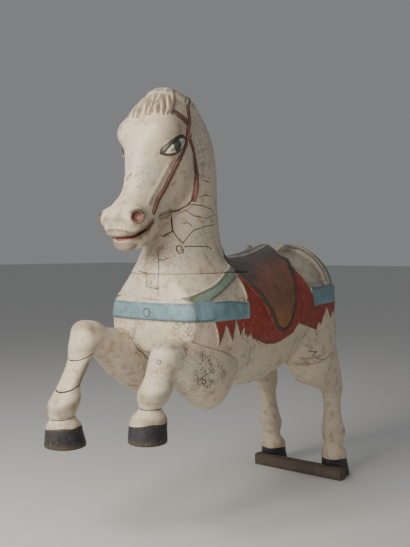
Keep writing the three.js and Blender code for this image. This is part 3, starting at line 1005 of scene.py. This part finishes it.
    def _lines(self, tree: Tree, place: Socket, mottle: Socket,
               cloud: Socket) -> Socket:
        """Where the paint has split: the long cracks and a net of age crackle that comes and goes.

        Args:
            tree: the material's nodes.
            place: the place on the object.
            mottle: fine noise.
            cloud: coarse noise.

        Returns:
            1 in a split and 0 beside it.
        """
        near = self._math(tree, "ABSOLUTE", self._mark(tree, "crack"))
        split = self._math(tree, "MULTIPLY", self._ramp(tree, near, 1.3, 0.6),
                           self._ramp(tree, self._mark(tree, "crack_near"), 4.0, 3.0))
        bent = put(tree, "VectorMath", {0: place, 1: mottle}, operation="ADD").outputs[0]
        # Cells about 75 mm and 22 mm across, flattened so that more of the lines run level.
        for across, width, first, last, strength in self.crackle:
            flat = put(tree, "Mapping", {"Vector": bent, "Scale": (1.0, 1.0, 1.5)}).outputs[0]
            net = put(tree, "TexVoronoi", {"Vector": flat, "Scale": 1000 / across},
                      feature="DISTANCE_TO_EDGE")
            line = self._ramp(tree, net.outputs["Distance"], 1.6 * width / across, 0.5 * width / across)
            some = self._math(tree, "MULTIPLY", self._ramp(tree, cloud, first, last), strength)
            split = self._math(tree, "MAXIMUM", split, self._math(tree, "MULTIPLY", line, some))
        return split

    @staticmethod
    def _mark(tree: Tree, name: str) -> Socket:
        """A number kept on the mesh."""
        return put(tree, "Attribute", attribute_name=name).outputs["Fac"]

    @staticmethod
    def _noise(tree: Tree, place: Socket, scale: float,
               detail: float) -> Socket:
        """Cloudy noise, scale lumps to the metre."""
        return put(tree, "TexNoise", {"Vector": place, "Scale": scale, "Detail": detail}).outputs[0]

    @staticmethod
    def _ramp(tree: Tree, value: Socket, low: float,
              high: float) -> Socket:
        """0 at low and 1 at high, smoothly."""
        return put(tree, "MapRange", {"Value": value, "From Min": low, "From Max": high},
                   interpolation_type="SMOOTHSTEP").outputs[0]

    @staticmethod
    def _math(tree: Tree, operation: str, a: object, b: object = 0.0) -> Socket:
        """A sum of two values or sockets."""
        return put(tree, "Math", {0: a, 1: b}, operation=operation).outputs[0]

    @staticmethod
    def _mix(tree: Tree, share: Socket, a: object,
             b: object) -> Socket:
        """One colour over another."""
        return put(tree, "Mix", {0: share, 6: a, 7: b}, data_type="RGBA").outputs[2]


# Brushed oil colours over cream. The rubbed edges and chips let the eye see layers, not one printed skin.
TRUNK_PAINT = PaintedWood("oil_paint_brushed_on_carved_trunk", coats=(
    Coat("collar", "#7f9585", "#8f9f8c"),
    Coat("blanket", "#9f4234", "#8e382c", worn=0.5),
    Coat("hem", "#cdc1ae", "#bfae95", worn=0.3),
    Coat("panel", "#b0a898", "#9d9482"),
    Coat("flap", "#85594a", "#76503f", worn=0.3),
    Coat("flap_tip", "#a17347", "#8f6540", soft=80.0, worn=0.1),
    Coat("withers", "#4f4842", "#443e39", soft=70.0, worn=0.1),
    Coat("piping", "#26252a", "#33313a", worn=0.3),
    # Pale cream on the seat's ridge and the croup's rim beads: partly worn pale paint, partly a painted
    # highlight along the top line.
    Coat("rim", "#e0dacd", "#cfc6b4", worn=0.3),
    Coat("band", "#6f929e", "#86a5ac", worn=0.6),
    Coat("keeper", "#8dabb2", "#80a0a8", worn=0.5),
    Coat("hoof", "#26282d", "#37373b"),
))
# The same cream, handled more finely. Dark lids and dull brick-red straps draw the eye to the face.
HEAD_PAINT = PaintedWood("oil_paint_brushed_on_carved_head", coats=(
    Coat("collar", "#7f9585", "#8f9f8c"),
    Coat("blanket", "#9f4234", "#8e382c", worn=0.5),
    Coat("flap", "#4f4842", "#443e39", worn=0.3),
    # Painted shadow: a dark brown line along both edges of each raised strap.
    Coat("bridle_edge_shadow", "#4a2a26", "#5a3a30", worn=0.3),
    Coat("bridle", "#96574b", "#a76c5e", worn=0.6),
    # Painted shade: grey-brown over the upper half of a ring round each nostril.
    Coat("shade_above_nostril", "#8b8273", "#6f6659", soft=5.0, worn=0.2),
    Coat("nostril", "#7f524a", "#6c443d", soft=3.0, worn=0.4),
    Coat("mouth", "#9a5f58", "#8a524c", soft=2.0),
    Coat("sclera", "#c9c4b6", "#b9b2a2", worn=0.1),
    Coat("iris", "#3f4a43", "#333c37", worn=0.05),
    Coat("lid", "#2a2824", "#38342e", worn=0.15),
    Coat("poll_stub", "#7f8a76", "#6f7866", soft=4.0),
))
# The forelegs are knocked the most, so more bare wood shows and the near-black hooves look dry and scuffed.
LEG_PAINT = PaintedWood("oil_paint_brushed_on_carved_forelegs", coats=(Coat("hoof", "#26282d", "#37373b"),),
                        chips=0.45)
# Never painted: grey from weather, with worn corners and grime from the deck.
BATTEN_WOOD = PaintedWood("sawn_hardwood_left_bare", ground=("#5c554e", "#6b6359", "#4d443b"), bare="#7a6b58",
                          chips=0.5, gloss=0.78)


# ---------------------------------------------------------------- the trunk and the neck's root


@dataclass(frozen=True)
class Spot:
    """A dirty place: its middle, mm, its reach, mm, and how dirty it is, 0 to 1."""

    at: tuple[float, float, float]
    reach: float
    strength: float = 0.8


@dataclass(frozen=True)
class Torso:
    """The trunk, the neck and their harness, carved as one for the blocks on both sides of the neck joint."""

    fillet: float = 26.0
    edge: float = 3.0
    piping_half: float = 6.0
    piping_relief: float = 3.0
    rim_radius: float = 9.0
    joint_z: float = 662.0
    joint_back: float = -446.0
    groove: float = 0.7
    groove_reach: float = 2.4
    groove_back: float = -480.0
    piping_top: float = 712.0

    def carve(self, block: Block) -> None:
        """Cuts the trunk, the neck and the harness out of a block.

        Args:
            block: the block.
        """
        y, z = block.grid[1], block.grid[2]

        def raised(outline: Path, height: float) -> Array:
            """How far one outline stands proud."""
            return height * eased(outline_depth(outline, y, z) / self.edge + 0.5)

        straps = [raised(o, STRAP_RELIEF) for o in (BREAST_BAND, REAR_BAND, CROUPER, COLLAR)]
        cloth = [raised(o, BLANKET_RELIEF) for o in (BLANKET, FRONT_FRINGE, REAR_FRINGE)]
        roll = (FLAP_RELIEF + self.piping_relief) * eased(
            (self.piping_half - np.abs(line_offset(PIPING, y, z))) / self.edge + 0.5)
        roll = roll * eased((self.piping_top - z) / 16)
        height = np.maximum.reduce([*straps, *cloth, raised(FLAP, FLAP_RELIEF), roll])
        block.wood = (block.form(Loft(TRUNK, (24, 28))) - height).astype(np.float32)
        neck = block.form(Loft(NECK, (0, 16))) - straps[3]
        block.add(neck.astype(np.float32), self.fillet)
        block.bead(SEAT_RIDGE, self.rim_radius, 4)
        for side in (1, -1):
            rim = [[side * x, y, z] for x, y, z in RIM]
            rim[0][2] -= 2 * self.rim_radius
            block.bead(rim, self.rim_radius, 4, taper=0.2)

    def part(self, block: Block, sense: int) -> None:
        """Cuts a block off at the neck joint, with a shallow groove along the joint's front.

        Args:
            block: the block to cut.
            sense: 1 keeps the neck's side, -1 the trunk's.
        """
        off = np.maximum(self.joint_z - block.grid[2], block.grid[1] - self.joint_back)
        groove = eased(1 - np.abs(off) / self.groove_reach)
        block.lift(-self.groove * groove * (block.grid[1] < self.groove_back))
        block.wood = keep(block.wood, sense * off + JOINT_GAP / 2, ARRIS)

    def marks(self, points: Array) -> dict[str, Array]:
        """How deep points lie inside each colour of the harness, mm.

        Args:
            points: the points, mm.

        Returns:
            The depths by the colour's mark.
        """
        x, y, z = points.T
        inside = [outline_depth(o, y, z) for o in (COLLAR, CROUPER, BLANKET, FRONT_FRINGE, REAR_FRINGE,
                                                     FLAP)]
        flap = inside[5]
        ridge = np.maximum(np.abs(line_offset([p[1:] for p in SEAT_RIDGE], y, z)), np.abs(x) - 2)
        rim = line_offset([p[1:] for p in RIM], y, z)
        return {
            "collar": np.maximum(inside[0], inside[1]),
            "blanket": np.maximum.reduce(inside[2:5]),
            "hem": 3.0 - np.abs(line_offset(FRONT_HEM, y, z)),
            "panel": np.minimum(outline_depth(CROUP_PANEL, y, z), np.abs(x) - 50),
            "flap": flap,
            "flap_tip": np.minimum(12 * flap, 560 - z),
            "withers": np.minimum(12 * flap, z - 672 + np.clip(-(y + 380), -40, 60) * 0.5),
            "piping": self.piping_half - np.abs(line_offset(PIPING, y, z)),
            # The seat's ridge and the croup's rims: pale paint with a painted highlight along the top line.
            "rim": np.maximum(9 - ridge, np.where(np.abs(x) > 48, 6 - np.abs(rim), -AWAY)),
            "keeper": outline_depth(KEEPER, y, z),
            "band": np.maximum(outline_depth(BREAST_BAND, y, z), outline_depth(REAR_BAND, y, z)),
        }


def dress(obj: bpy.types.Object, block: Block, form: Array, cracks: Sequence[Crack],
          marks: dict[str, Array], spots: Sequence[Spot] = (), seams: Sequence[Array] = ()) -> None:
    """Keeps on a mesh everything that its paint reads.

    Args:
        obj: the piece.
        block: the block that it was skinned from.
        form: the wood before it was parted at its joints.
        cracks: the cracks that it may carry.
        marks: how deep each point lies inside each painted outline, mm.
        spots: its dirty places.
        seams: distances from each point to the open joints that it borders on, mm.
    """
    points = vertices_of(obj.data)
    for name, values in marks.items():
        store(obj, name, values)
    line = crack_field(cracks, points)
    for seam in seams:
        line = np.where(np.abs(seam) < np.abs(line), seam, line)
    store(obj, "crack", line)
    store(obj, "crack_near", np.abs(line))
    store(obj, "hollow", -block.at(block.hollows(form), points))
    grime = np.zeros(len(points))
    for spot in spots:
        away = np.linalg.norm(points - np.array(spot.at), axis=1)
        grime = np.maximum(grime, spot.strength * eased(1.4 - away / spot.reach))
    store(obj, "grime", grime)


@dataclass(frozen=True)
class Body:
    """The block of the trunk and hind legs, with the harness and the stub of the dock."""

    torso: Torso = field(default_factory=Torso)
    cell: float = 3.2
    low: tuple[float, float, float] = (-190, -735, -2)
    high: tuple[float, float, float] = (190, 150, 762)
    # Stifle, gaskin and hock: middle, half sizes and fillet of each, mm.
    muscles: tuple = (
        ((120, -160, 440), (40, 50, 42), 6), ((122, -123, 352), (47, 57, 35), 6),
        ((129, -24, 320), (39, 41, 27), 8),
    )
    dock: Path = ((0, 84, 640), (0, 112, 626), (0, 126, 600), (0, 128, 572))
    rosette: tuple[float, float, float] = (4, 565, 13)  # its middle's x and z, and its radius
    hoof_top: float = 55.0
    rebate_half: float = 16.8
    rebate_top: float = 36.3
    spots: tuple[Spot, ...] = (
        Spot((112, -705, 528), 34, 0.7), Spot((108, -705, 500), 24, 0.6), Spot((170, -600, 395), 30, 0.6),
        Spot((140, -190, 400), 18, 0.5), Spot((-60, -700, 490), 45, 0.6), Spot((120, 40, 20), 40, 0.6),
    )

    def build(self) -> bpy.types.Object:
        """Carves, skins and paints the block.

        Returns:
            The piece.
        """
        block = Block(self.low, self.high, self.cell)
        self.torso.carve(block)
        block.bead(self.dock, 17, 6)
        for rows in (HIND_LEG, mirrored(HIND_LEG)):
            block.add(block.form(Loft(rows, (0, 20))), 22)
        for side in (1, -1):
            for (x, y, z), radii, blend in self.muscles:
                block.ball((side * x, y, z), radii, blend)
        for path in TUFT_GROOVES:
            block.strip(path, 2.0, -1.6, 4)
        for path in WITHER_FOLDS:
            block.strip(path, 1.5, -1.2, 3)
        block.strip([[-212, 398], [-194, 393], [-155, 398], [-120, 408]], 3, -5.5, 14)
        block.strip([[-90, 352], [-72, 320], [-64, 300]], 3, -2.5, 12)
        self._rosette(block)
        carve_cracks(block, (*BODY_CRACKS, ROSETTE))
        block.roughen(0.5, (45, 45, 30), 3)
        form = block.wood.copy()
        self.torso.part(block, -1)
        y, z = block.grid[1], block.grid[2]
        rebate = np.maximum(np.abs(y) - self.rebate_half, z - self.rebate_top)
        block.cut(np.broadcast_to(rebate, block.wood.shape), 1)
        trimmed(block)
        obj = block.skin("carved_body")
        points = vertices_of(obj.data)
        marks = self.torso.marks(points)
        marks["hoof"] = self.hoof_top + 3 * np.sin(points[:, 1] / 17) - points[:, 2]
        dress(obj, block, form, (*BODY_CRACKS, ROSETTE), marks, self.spots)
        return fit(obj, "body", TRUNK_PAINT)

    def _rosette(self, block: Block) -> None:
        """The small round boss on the breast band.

        Args:
            block: the block.
        """
        (x, z, radius), height = self.rosette, 1.6
        inside = radius - np.hypot(block.grid[0] - x, block.grid[2] - z)
        block.lift(height * eased(inside / 3 + 0.5) * (block.grid[1] < NECK_FRONT))


# ---------------------------------------------------------------- the head and neck


@dataclass(frozen=True)
class HeadAndNeck:
    """The block of the neck and head, with the mane, forelock, bridle and face."""

    torso: Torso = field(default_factory=Torso)
    cell: float = 2.0
    low: tuple[float, float, float] = (-112, -862, 655)
    high: tuple[float, float, float] = (112, -440, 1142)
    eye: tuple[float, float] = (-703, 978)
    eye_half: tuple[float, float] = (35.0, 15.5)
    eye_tilt: float = 36.0
    locks: int = 17
    lock_radius: float = 6.8
    poll: tuple[float, float, float] = (0, -640, 1010)
    strap_half: float = 5.0
    brow_half: float = 7.5
    spots: tuple[Spot, ...] = (
        Spot((53, -766, 785), 12, 0.9), Spot((60, -820, 812), 16, 0.6), Spot((75, -590, 700), 32, 0.45),
        Spot((66, -667, 723), 12, 0.9), Spot((0, -660, 790), 30, 0.4),
    )

    def build(self) -> bpy.types.Object:
        """Carves, skins and paints the block.

        Returns:
            The piece.
        """
        block = Block(self.low, self.high, self.cell)
        self.torso.carve(block)
        head = Block(self.low, self.high, self.cell)
        head.wood = head.form(Loft(SKULL, (16, 18)))
        head.add(head.form(Loft(LOWER_JAW, (24, 10))), 8)
        for side in (1, -1):
            head.ball((side * 43, -708, 1016), (50, 52, 44), 14)
            head.ball((side * 66, -697, 979), (24, 36, 24), 8, 35)
            head.ball((side * 40, -804, 803), (22, 28, 24), 8)
        head.ball((0, -806, 756), (66, 58, 6.5), 2, 33, cut=True)
        head.ball((0, -778, 768), (40, 44, 9), 2, 33)
        self._forelock(head)
        block.add(head.wood, 9)
        block.bead(CREST, 15, 8)
        self._bridle(block)
        self._face(block)
        carve_cracks(block, NECK_CRACKS)
        block.roughen(0.4, (40, 40, 28), 5)
        form = block.wood.copy()
        self.torso.part(block, 1)
        trimmed(block)
        obj = block.skin("carved_head_and_neck")
        dress(obj, block, form, NECK_CRACKS, self._marks(vertices_of(obj.data)), self.spots)
        return fit(obj, "head_and_neck", HEAD_PAINT)

    def _forelock(self, head: Block) -> None:
        """Wavy locks that fan forward and down from the poll.

        Args:
            head: the head's block.
        """
        heart = np.array(self.poll, float)
        skull = head.wood.copy()
        bare = Block(self.low, self.high, self.cell)
        bare.wood = skull
        for k in range(self.locks):
            across = 2 * k / (self.locks - 1) - 1
            fall = []
            for down in (0, 0.15, 0.3, 0.45, 0.6, 0.75, 0.9, 1):
                spread = across * (30 + 62 * down) + 9 * math.sin(down * 9 + 1.7 * k)
                forward = (146 + 10 * math.sin(2.3 * k)) * down * (1 - 0.45 * abs(across))
                fall.append(bare.hit((spread, -650 - forward, 1250 - 190 * down ** 1.5), heart))
            head.bead(fall, self.lock_radius, 2)
            fall = np.array(fall)
            out = (fall - heart) / np.linalg.norm(fall - heart, axis=1)[:, None]
            head.bead(fall + self.lock_radius * out + (2.0, 0, 0), 1.8, 1, cut=True)

    def _bridle(self, block: Block) -> None:
        """Flat raised straps.

        Args:
            block: the block.
        """
        for path in (HEADSTALL, CHEEK_STRAP, MOUTH_STRAP):
            block.strip(path, self.strap_half, STRAP_RELIEF, 3)
        block.strip(BROW_STRAP, self.brow_half, STRAP_RELIEF, 3)

    def _almond(self, grow: float = 0.0) -> Array:
        """The eye's outline seen from the side, from its front corner over the top and back.

        Args:
            grow: how far it is let out, mm.

        Returns:
            Its corners as y, z, mm.
        """
        turn = np.linspace(0, 2 * math.pi, 28, endpoint=False)
        along = -np.cos(turn) * (self.eye_half[0] + grow)
        across = np.sign(np.sin(turn)) * np.abs(np.sin(turn)) ** 1.25 * (self.eye_half[1] + grow)
        s, c = math.sin(math.radians(self.eye_tilt)), math.cos(math.radians(self.eye_tilt))
        return np.stack([self.eye[0] + c * along - s * across, self.eye[1] + s * along + c * across], -1)

    def _face(self, block: Block) -> None:
        """Eyes, nostrils, lips and the jaw's crease.

        Args:
            block: the block.
        """
        y, z = block.grid[1], block.grid[2]
        ring = np.abs(outline_depth(self._almond(), y, z))
        block.lift(2.2 * eased(1.3 - ring / 3.4))
        inner = outline_depth(self._almond(-3), y, z)
        block.lift(1.5 * eased(inner / 8))
        block.strip(JAW_LINE, 2.5, -3, 5)
        block.strip([[-704, 945], [-728, 890], [-765, 835]], 5, 2.2, 12)
        for side in (1, -1):
            block.ball((side * 56, -815, 801), (19, 17, 18), 7)
            block.ball((side * 65, -826, 801), (14, 13, 13), 3, cut=True)
        for x in range(-28, 29, 7):
            block.lift(-0.7 * eased(1.4 - np.abs(block.grid[0] - x) / 2) * eased((y < -795) * 1.0)
                       * eased((z - 758) / 5) * eased((792 - z) / 8))

    def _marks(self, points: Array) -> dict[str, Array]:
        """How deep points lie inside each colour of the head.

        Args:
            points: the points, mm.

        Returns:
            The depths by the colour's mark, mm.
        """
        x, y, z = points.T
        marks = self.torso.marks(points)
        marks = {name: marks[name] for name in ("collar", "blanket", "flap")}
        straps = [np.abs(line_offset(p, y, z)) for p in (HEADSTALL, CHEEK_STRAP, MOUTH_STRAP)]
        strap = np.minimum.reduce([*straps, np.abs(line_offset(BROW_STRAP, y, z)) - 2.5])
        eye = outline_depth(self._almond(), y, z)
        wide = np.abs(x) > 40
        iris = 13 - np.hypot((y - self.eye[0] + 3) * 1.15, (z - self.eye[1]) * 0.8)
        above = (z - self.eye[1]) - math.tan(math.radians(self.eye_tilt)) * (y - self.eye[0]) > 0
        nostril = 14 - np.linalg.norm(points - np.where(x > 0, 1, -1)[:, None] * (60, 0, 0)
                                      - np.array((0, -820, 800)), axis=1)
        lean = math.radians(33)
        slot = (y + 806) * -math.sin(lean) + (z - 756) * math.cos(lean)
        marks |= {
            # Painted shadow along both edges of the raised straps.
            "bridle_edge_shadow": 7.0 - strap,
            "bridle": 4.6 - strap,
            "nostril": nostril,
            # Painted shade over the upper half of the ring round each nostril.
            "shade_above_nostril": np.where(z > 806, nostril + 6, -AWAY),
            "mouth": np.where(y < -745, 5.5 - np.abs(slot), -AWAY),
            "sclera": np.where(wide, eye, -AWAY),
            "iris": np.where(wide, np.minimum(iris, eye), -AWAY),
            "lid": np.where(wide, np.where(above, 4.6, 2.8) - np.abs(eye + 0.8), -AWAY),
            "poll_stub": 11 - np.hypot(y + 628, z - 1098),
        }
        return marks


# ---------------------------------------------------------------- the forelegs


@dataclass(frozen=True)
class Joint:
    """An open glue joint across a leg: a point on it, mm, its lean and how far it has opened, mm."""

    at: tuple[float, float, float]
    lean: float
    open: float = 0.6
    reach: float = 56.0

    def above(self, block: Block) -> Array:
        """How far each cube is above the joint.

        Args:
            block: the block.

        Returns:
            The heights, mm.
        """
        angle = math.radians(self.lean)
        y, z = block.grid[1] - self.at[1], block.grid[2] - self.at[2]
        return -math.sin(angle) * y + math.cos(angle) * z

    def seam(self, points: Array) -> Array:
        """Distances from points to the joint.

        Args:
            points: the points, mm.

        Returns:
            The distances, mm, and AWAY where the joint's plane has left the shank.
        """
        angle = math.radians(self.lean)
        away = points - np.array(self.at)
        off = np.abs(away @ np.array((0, -math.sin(angle), math.cos(angle))))
        return np.where(np.linalg.norm(away, axis=1) < self.reach, off, AWAY)


@dataclass(frozen=True)
class LegPiece:
    """One block of a leg: its node and slot, and the joints over and under it."""

    node: str
    slot: str = CREAM
    over: Joint | None = None
    under: Joint | None = None
    forearm: bool = False


KNEE = Joint((-100, -848, 467), 24)
CANNON = Joint((-100, -894, 393), 24)
RIGHT_PASTERN = Joint((-99, -914, 321), 8)
LEFT_PASTERN = Joint((83, -800, 346), 0, open=1.8)


@dataclass(frozen=True)
class Foreleg:
    """A lifted foreleg, carved whole and then parted at its glue joints."""

    lower: Path
    forearm: Path
    domes: tuple[float, float]
    arm_domes: tuple[float, float]
    pieces: tuple[LegPiece, ...]
    low: tuple[float, float, float]
    high: tuple[float, float, float]
    hoof_line: tuple[float, float]
    spots: tuple[Spot, ...] = ()
    plugs: tuple[Crack, ...] = ()
    torso: Torso = field(default_factory=Torso)
    cell: float = 2.0
    seed: int = 11

    def build(self) -> list[bpy.types.Object]:
        """Carves, parts, skins and paints the leg.

        Returns:
            Its pieces, from the top down.
        """
        block = Block(self.low, self.high, self.cell)
        shank = block.form(Loft(self.lower, self.domes))
        arm = block.form(Loft(self.forearm, self.arm_domes))
        block.wood = np.zeros_like(shank)
        block.roughen(0.5, (30, 30, 24), self.seed)
        waves = block.wood
        trunk = Block(self.low, self.high, self.cell)
        self.torso.carve(trunk)
        made = []
        for piece in self.pieces:
            form = soft_min(shank, arm, 16)
            form = form - block.hollows(form, 6) + waves
            block.wood = form.copy() if piece.forearm else shank - block.hollows(shank, 4) + waves
            for joint, sense in ((piece.over, 1), (piece.under, -1)):
                if joint:
                    self._part(block, joint, sense)
            if piece.forearm:
                block.add(arm + waves, 1)
                carve_cracks(block, self.plugs)
                block.wood = keep(block.wood, JOINT_GAP - trunk.wood, 2.5)
            elif piece.over is KNEE:
                block.wood = keep(block.wood, JOINT_GAP - arm - waves, 2)
            trimmed(block)
            made.append(self._finish(block, form, piece, trunk))
        return made

    @staticmethod
    def _part(block: Block, joint: Joint, sense: int) -> None:
        """Cuts the block off at a joint, with a worn arris that the dirt has got into.

        Args:
            block: the block.
            joint: the joint.
            sense: 1 keeps what is under it, -1 what is over it.
        """
        beyond = joint.above(block) * sense
        block.lift(-joint.open * eased(1 - np.abs(beyond) / (1.5 + 2 * joint.open)))
        block.wood = keep(block.wood, beyond + JOINT_GAP / 2, ARRIS)

    def _finish(self, block: Block, form: Array, piece: LegPiece, trunk: Block) -> bpy.types.Object:
        """Skins and paints one block of the leg, with dirt in the joints that it borders on.

        Args:
            block: the block.
            form: the wood before it was parted.
            piece: which piece it is.
            trunk: the trunk that the leg meets.

        Returns:
            The piece.
        """
        obj = block.skin("carved_" + piece.node)
        points = vertices_of(obj.data)
        height, slope = self.hoof_line
        line = height + slope * (points[:, 0] - np.mean([row[0] for row in self.lower]))
        joints = [joint for joint in (piece.over, piece.under) if joint]
        seams = [joint.seam(points) * 1.3 for joint in joints]
        if piece.forearm:
            seams.append(np.abs(trunk.at(trunk.wood, points)) * 0.45)
        hoof = line + 1.5 * np.sin(points[:, 1] / 9) - points[:, 2]
        dress(obj, block, form, self.plugs, {"hoof": hoof}, self.spots, seams)
        return fit(obj, piece.node, LEG_PAINT)


RIGHT_FORELEG = Foreleg(
    lower=RIGHT_LOWER_LEG, forearm=RIGHT_FOREARM, domes=(0, 26), arm_domes=(20, 20),
    pieces=(
        LegPiece("right_foreleg", under=KNEE, forearm=True),
        LegPiece("right_fore_cannon", over=KNEE, under=CANNON),
        LegPiece("right_fore_fetlock", over=CANNON, under=RIGHT_PASTERN),
        LegPiece("right_fore_hoof", BLACK, over=RIGHT_PASTERN),
    ),
    low=(-164, -966, 244), high=(-34, -500, 556), hoof_line=(295, 0.12),
    spots=(Spot((-80, -650, 460), 55, 0.9), Spot((-90, -760, 470), 40, 0.4)), seed=11,
)
LEFT_FORELEG = Foreleg(
    lower=LEFT_LOWER_LEG, forearm=LEFT_FOREARM, domes=(0, 18), arm_domes=(20, 18),
    pieces=(
        LegPiece("left_foreleg", under=LEFT_PASTERN, forearm=True),
        LegPiece("left_fore_hoof", BLACK, over=LEFT_PASTERN),
    ),
    low=(26, -862, 260), high=(182, -510, 516), hoof_line=(311, 0.12),
    spots=(Spot((165, -680, 430), 62, 0.7), Spot((83, -800, 346), 22, 0.6), Spot((130, -745, 470), 30, 0.6)),
    plugs=LEFT_LEG_PLUGS, seed=13,
)


# ---------------------------------------------------------------- the foot batten


@dataclass(frozen=True)
class FootBatten:
    """The bare batten that is let into the hind hooves and takes the deck bolts."""

    left: float = 172.0
    right: float = -152.0
    thick: float = 33.0
    tall: float = 36.0
    worn: float = 5.0
    cell: float = 1.6
    spots: tuple[Spot, ...] = (
        Spot((116, 0, 36), 60, 0.6), Spot((-116, 0, 36), 60, 0.6), Spot((0, -16, 10), 80, 0.4),
    )

    def build(self) -> bpy.types.Object:
        """Cuts, wears, skins and finishes the batten.

        Returns:
            The piece.
        """
        block = Block((self.right - 8, -20, -4), (self.left + 4, 20, 40), self.cell)
        half = self.thick / 2
        plan = [[self.left, -half], [self.left, half], [self.right, half],
                [self.right - self.worn, self.worn], [self.right, -half]]
        x, y, z = block.grid
        flat = -outline_depth(plan, x, y)
        block.wood = keep(np.broadcast_to(flat, block.wood.shape),
                          np.broadcast_to(np.abs(z - self.tall / 2) - self.tall / 2, block.wood.shape), 3)
        block.wood = block.wood.astype(np.float32) + 0.35
        block.roughen(0.35, (70, 4, 4), 17)
        block.wood = np.maximum(block.wood, 0.0 - np.broadcast_to(z, block.wood.shape)).astype(np.float32)
        trimmed(block)
        obj = block.skin("sawn_foot_batten")
        dress(obj, block, block.wood, (), {}, self.spots)
        return fit(obj, "foot_batten", BATTEN_WOOD)


# ---------------------------------------------------------------- the studio


@dataclass(frozen=True)
class Lamp:
    """A soft square light: where it stands, what it faces, its size in metres, watts and colour."""

    at: tuple[float, float, float]
    size: float
    watts: float
    colour: str = "#ffffff"
    towards: tuple[float, float, float] = (0.0, -0.45, 0.6)


@dataclass(frozen=True)
class Studio:
    """A pale floor, soft lights and the camera."""

    eye: tuple[float, float, float] = (1.3044, -2.1535, 0.722)
    azimuth: float = 38.0
    down: float = 1.75
    lens: float = 50.67
    lamps: tuple[Lamp, ...] = (
        Lamp((-0.15, -2.35, 1.45), 1.1, 58, "#fff6ea", (0.0, -0.75, 0.72)),
        Lamp((2.1, -2.6, 1.9), 1.8, 10, "#f6f4ff"),
        Lamp((-1.4, 0.6, 2.6), 1.5, 6),
    )

    def build(self) -> None:
        """Sets up the floor, the light and the camera."""
        self._floor()
        for k, lamp in enumerate(self.lamps):
            light = bpy.data.lights.new(f"soft_light_{k}", "AREA")
            light.size, light.energy, light.color = lamp.size, lamp.watts, linear(lamp.colour)[:3]
            holder = bpy.data.objects.new(light.name, light)
            holder.location = lamp.at
            ahead = Vector(lamp.towards) - Vector(lamp.at)
            holder.rotation_euler = ahead.to_track_quat("-Z", "Y").to_euler()
            bpy.context.scene.collection.objects.link(holder)
        world = bpy.data.worlds.new("studio_air")
        world.use_nodes = True
        sky = world.node_tree.nodes["Background"]
        sky.inputs["Color"].default_value = linear("#cfd0d2")
        sky.inputs["Strength"].default_value = 0.35
        bpy.context.scene.world = world
        camera = bpy.data.cameras.new("camera")
        camera.lens = self.lens
        holder = bpy.data.objects.new("camera", camera)
        holder.location = self.eye
        a, e = math.radians(self.azimuth), math.radians(self.down)
        ahead = Vector((-math.sin(a) * math.cos(e), math.cos(a) * math.cos(e), -math.sin(e)))
        holder.rotation_euler = ahead.to_track_quat("-Z", "Y").to_euler()
        bpy.context.scene.collection.objects.link(holder)
        bpy.context.scene.camera = holder

    @staticmethod
    def _floor() -> None:
        """A large plain floor."""
        mesh = bpy.data.meshes.new("floor")
        mesh.from_pydata([(-30, -30, 0), (30, -30, 0), (30, 30, 0), (-30, 30, 0)], [], [(0, 1, 2, 3)])
        # Unglazed paper has no gloss, so it shows soft shadows and no mirror of the lamps.
        paper = bpy.data.materials.new("matt_studio_paper")
        paper.use_nodes = True
        shader = paper.node_tree.nodes["Principled BSDF"]
        shader.inputs["Base Color"].default_value = linear("#d3d3d1")
        shader.inputs["Roughness"].default_value = 0.9
        mesh.materials.append(paper)
        floor = bpy.data.objects.new("floor", mesh)
        bpy.context.scene.collection.objects.link(floor)


def main() -> None:
    """Builds the horse and its studio."""
    logging.basicConfig(level=logging.INFO, format="%(message)s")
    Body().build()
    HeadAndNeck().build()
    for leg in (RIGHT_FORELEG, LEFT_FORELEG):
        leg.build()
    FootBatten().build()
    Studio().build()


if __name__ == "__main__":
    main()
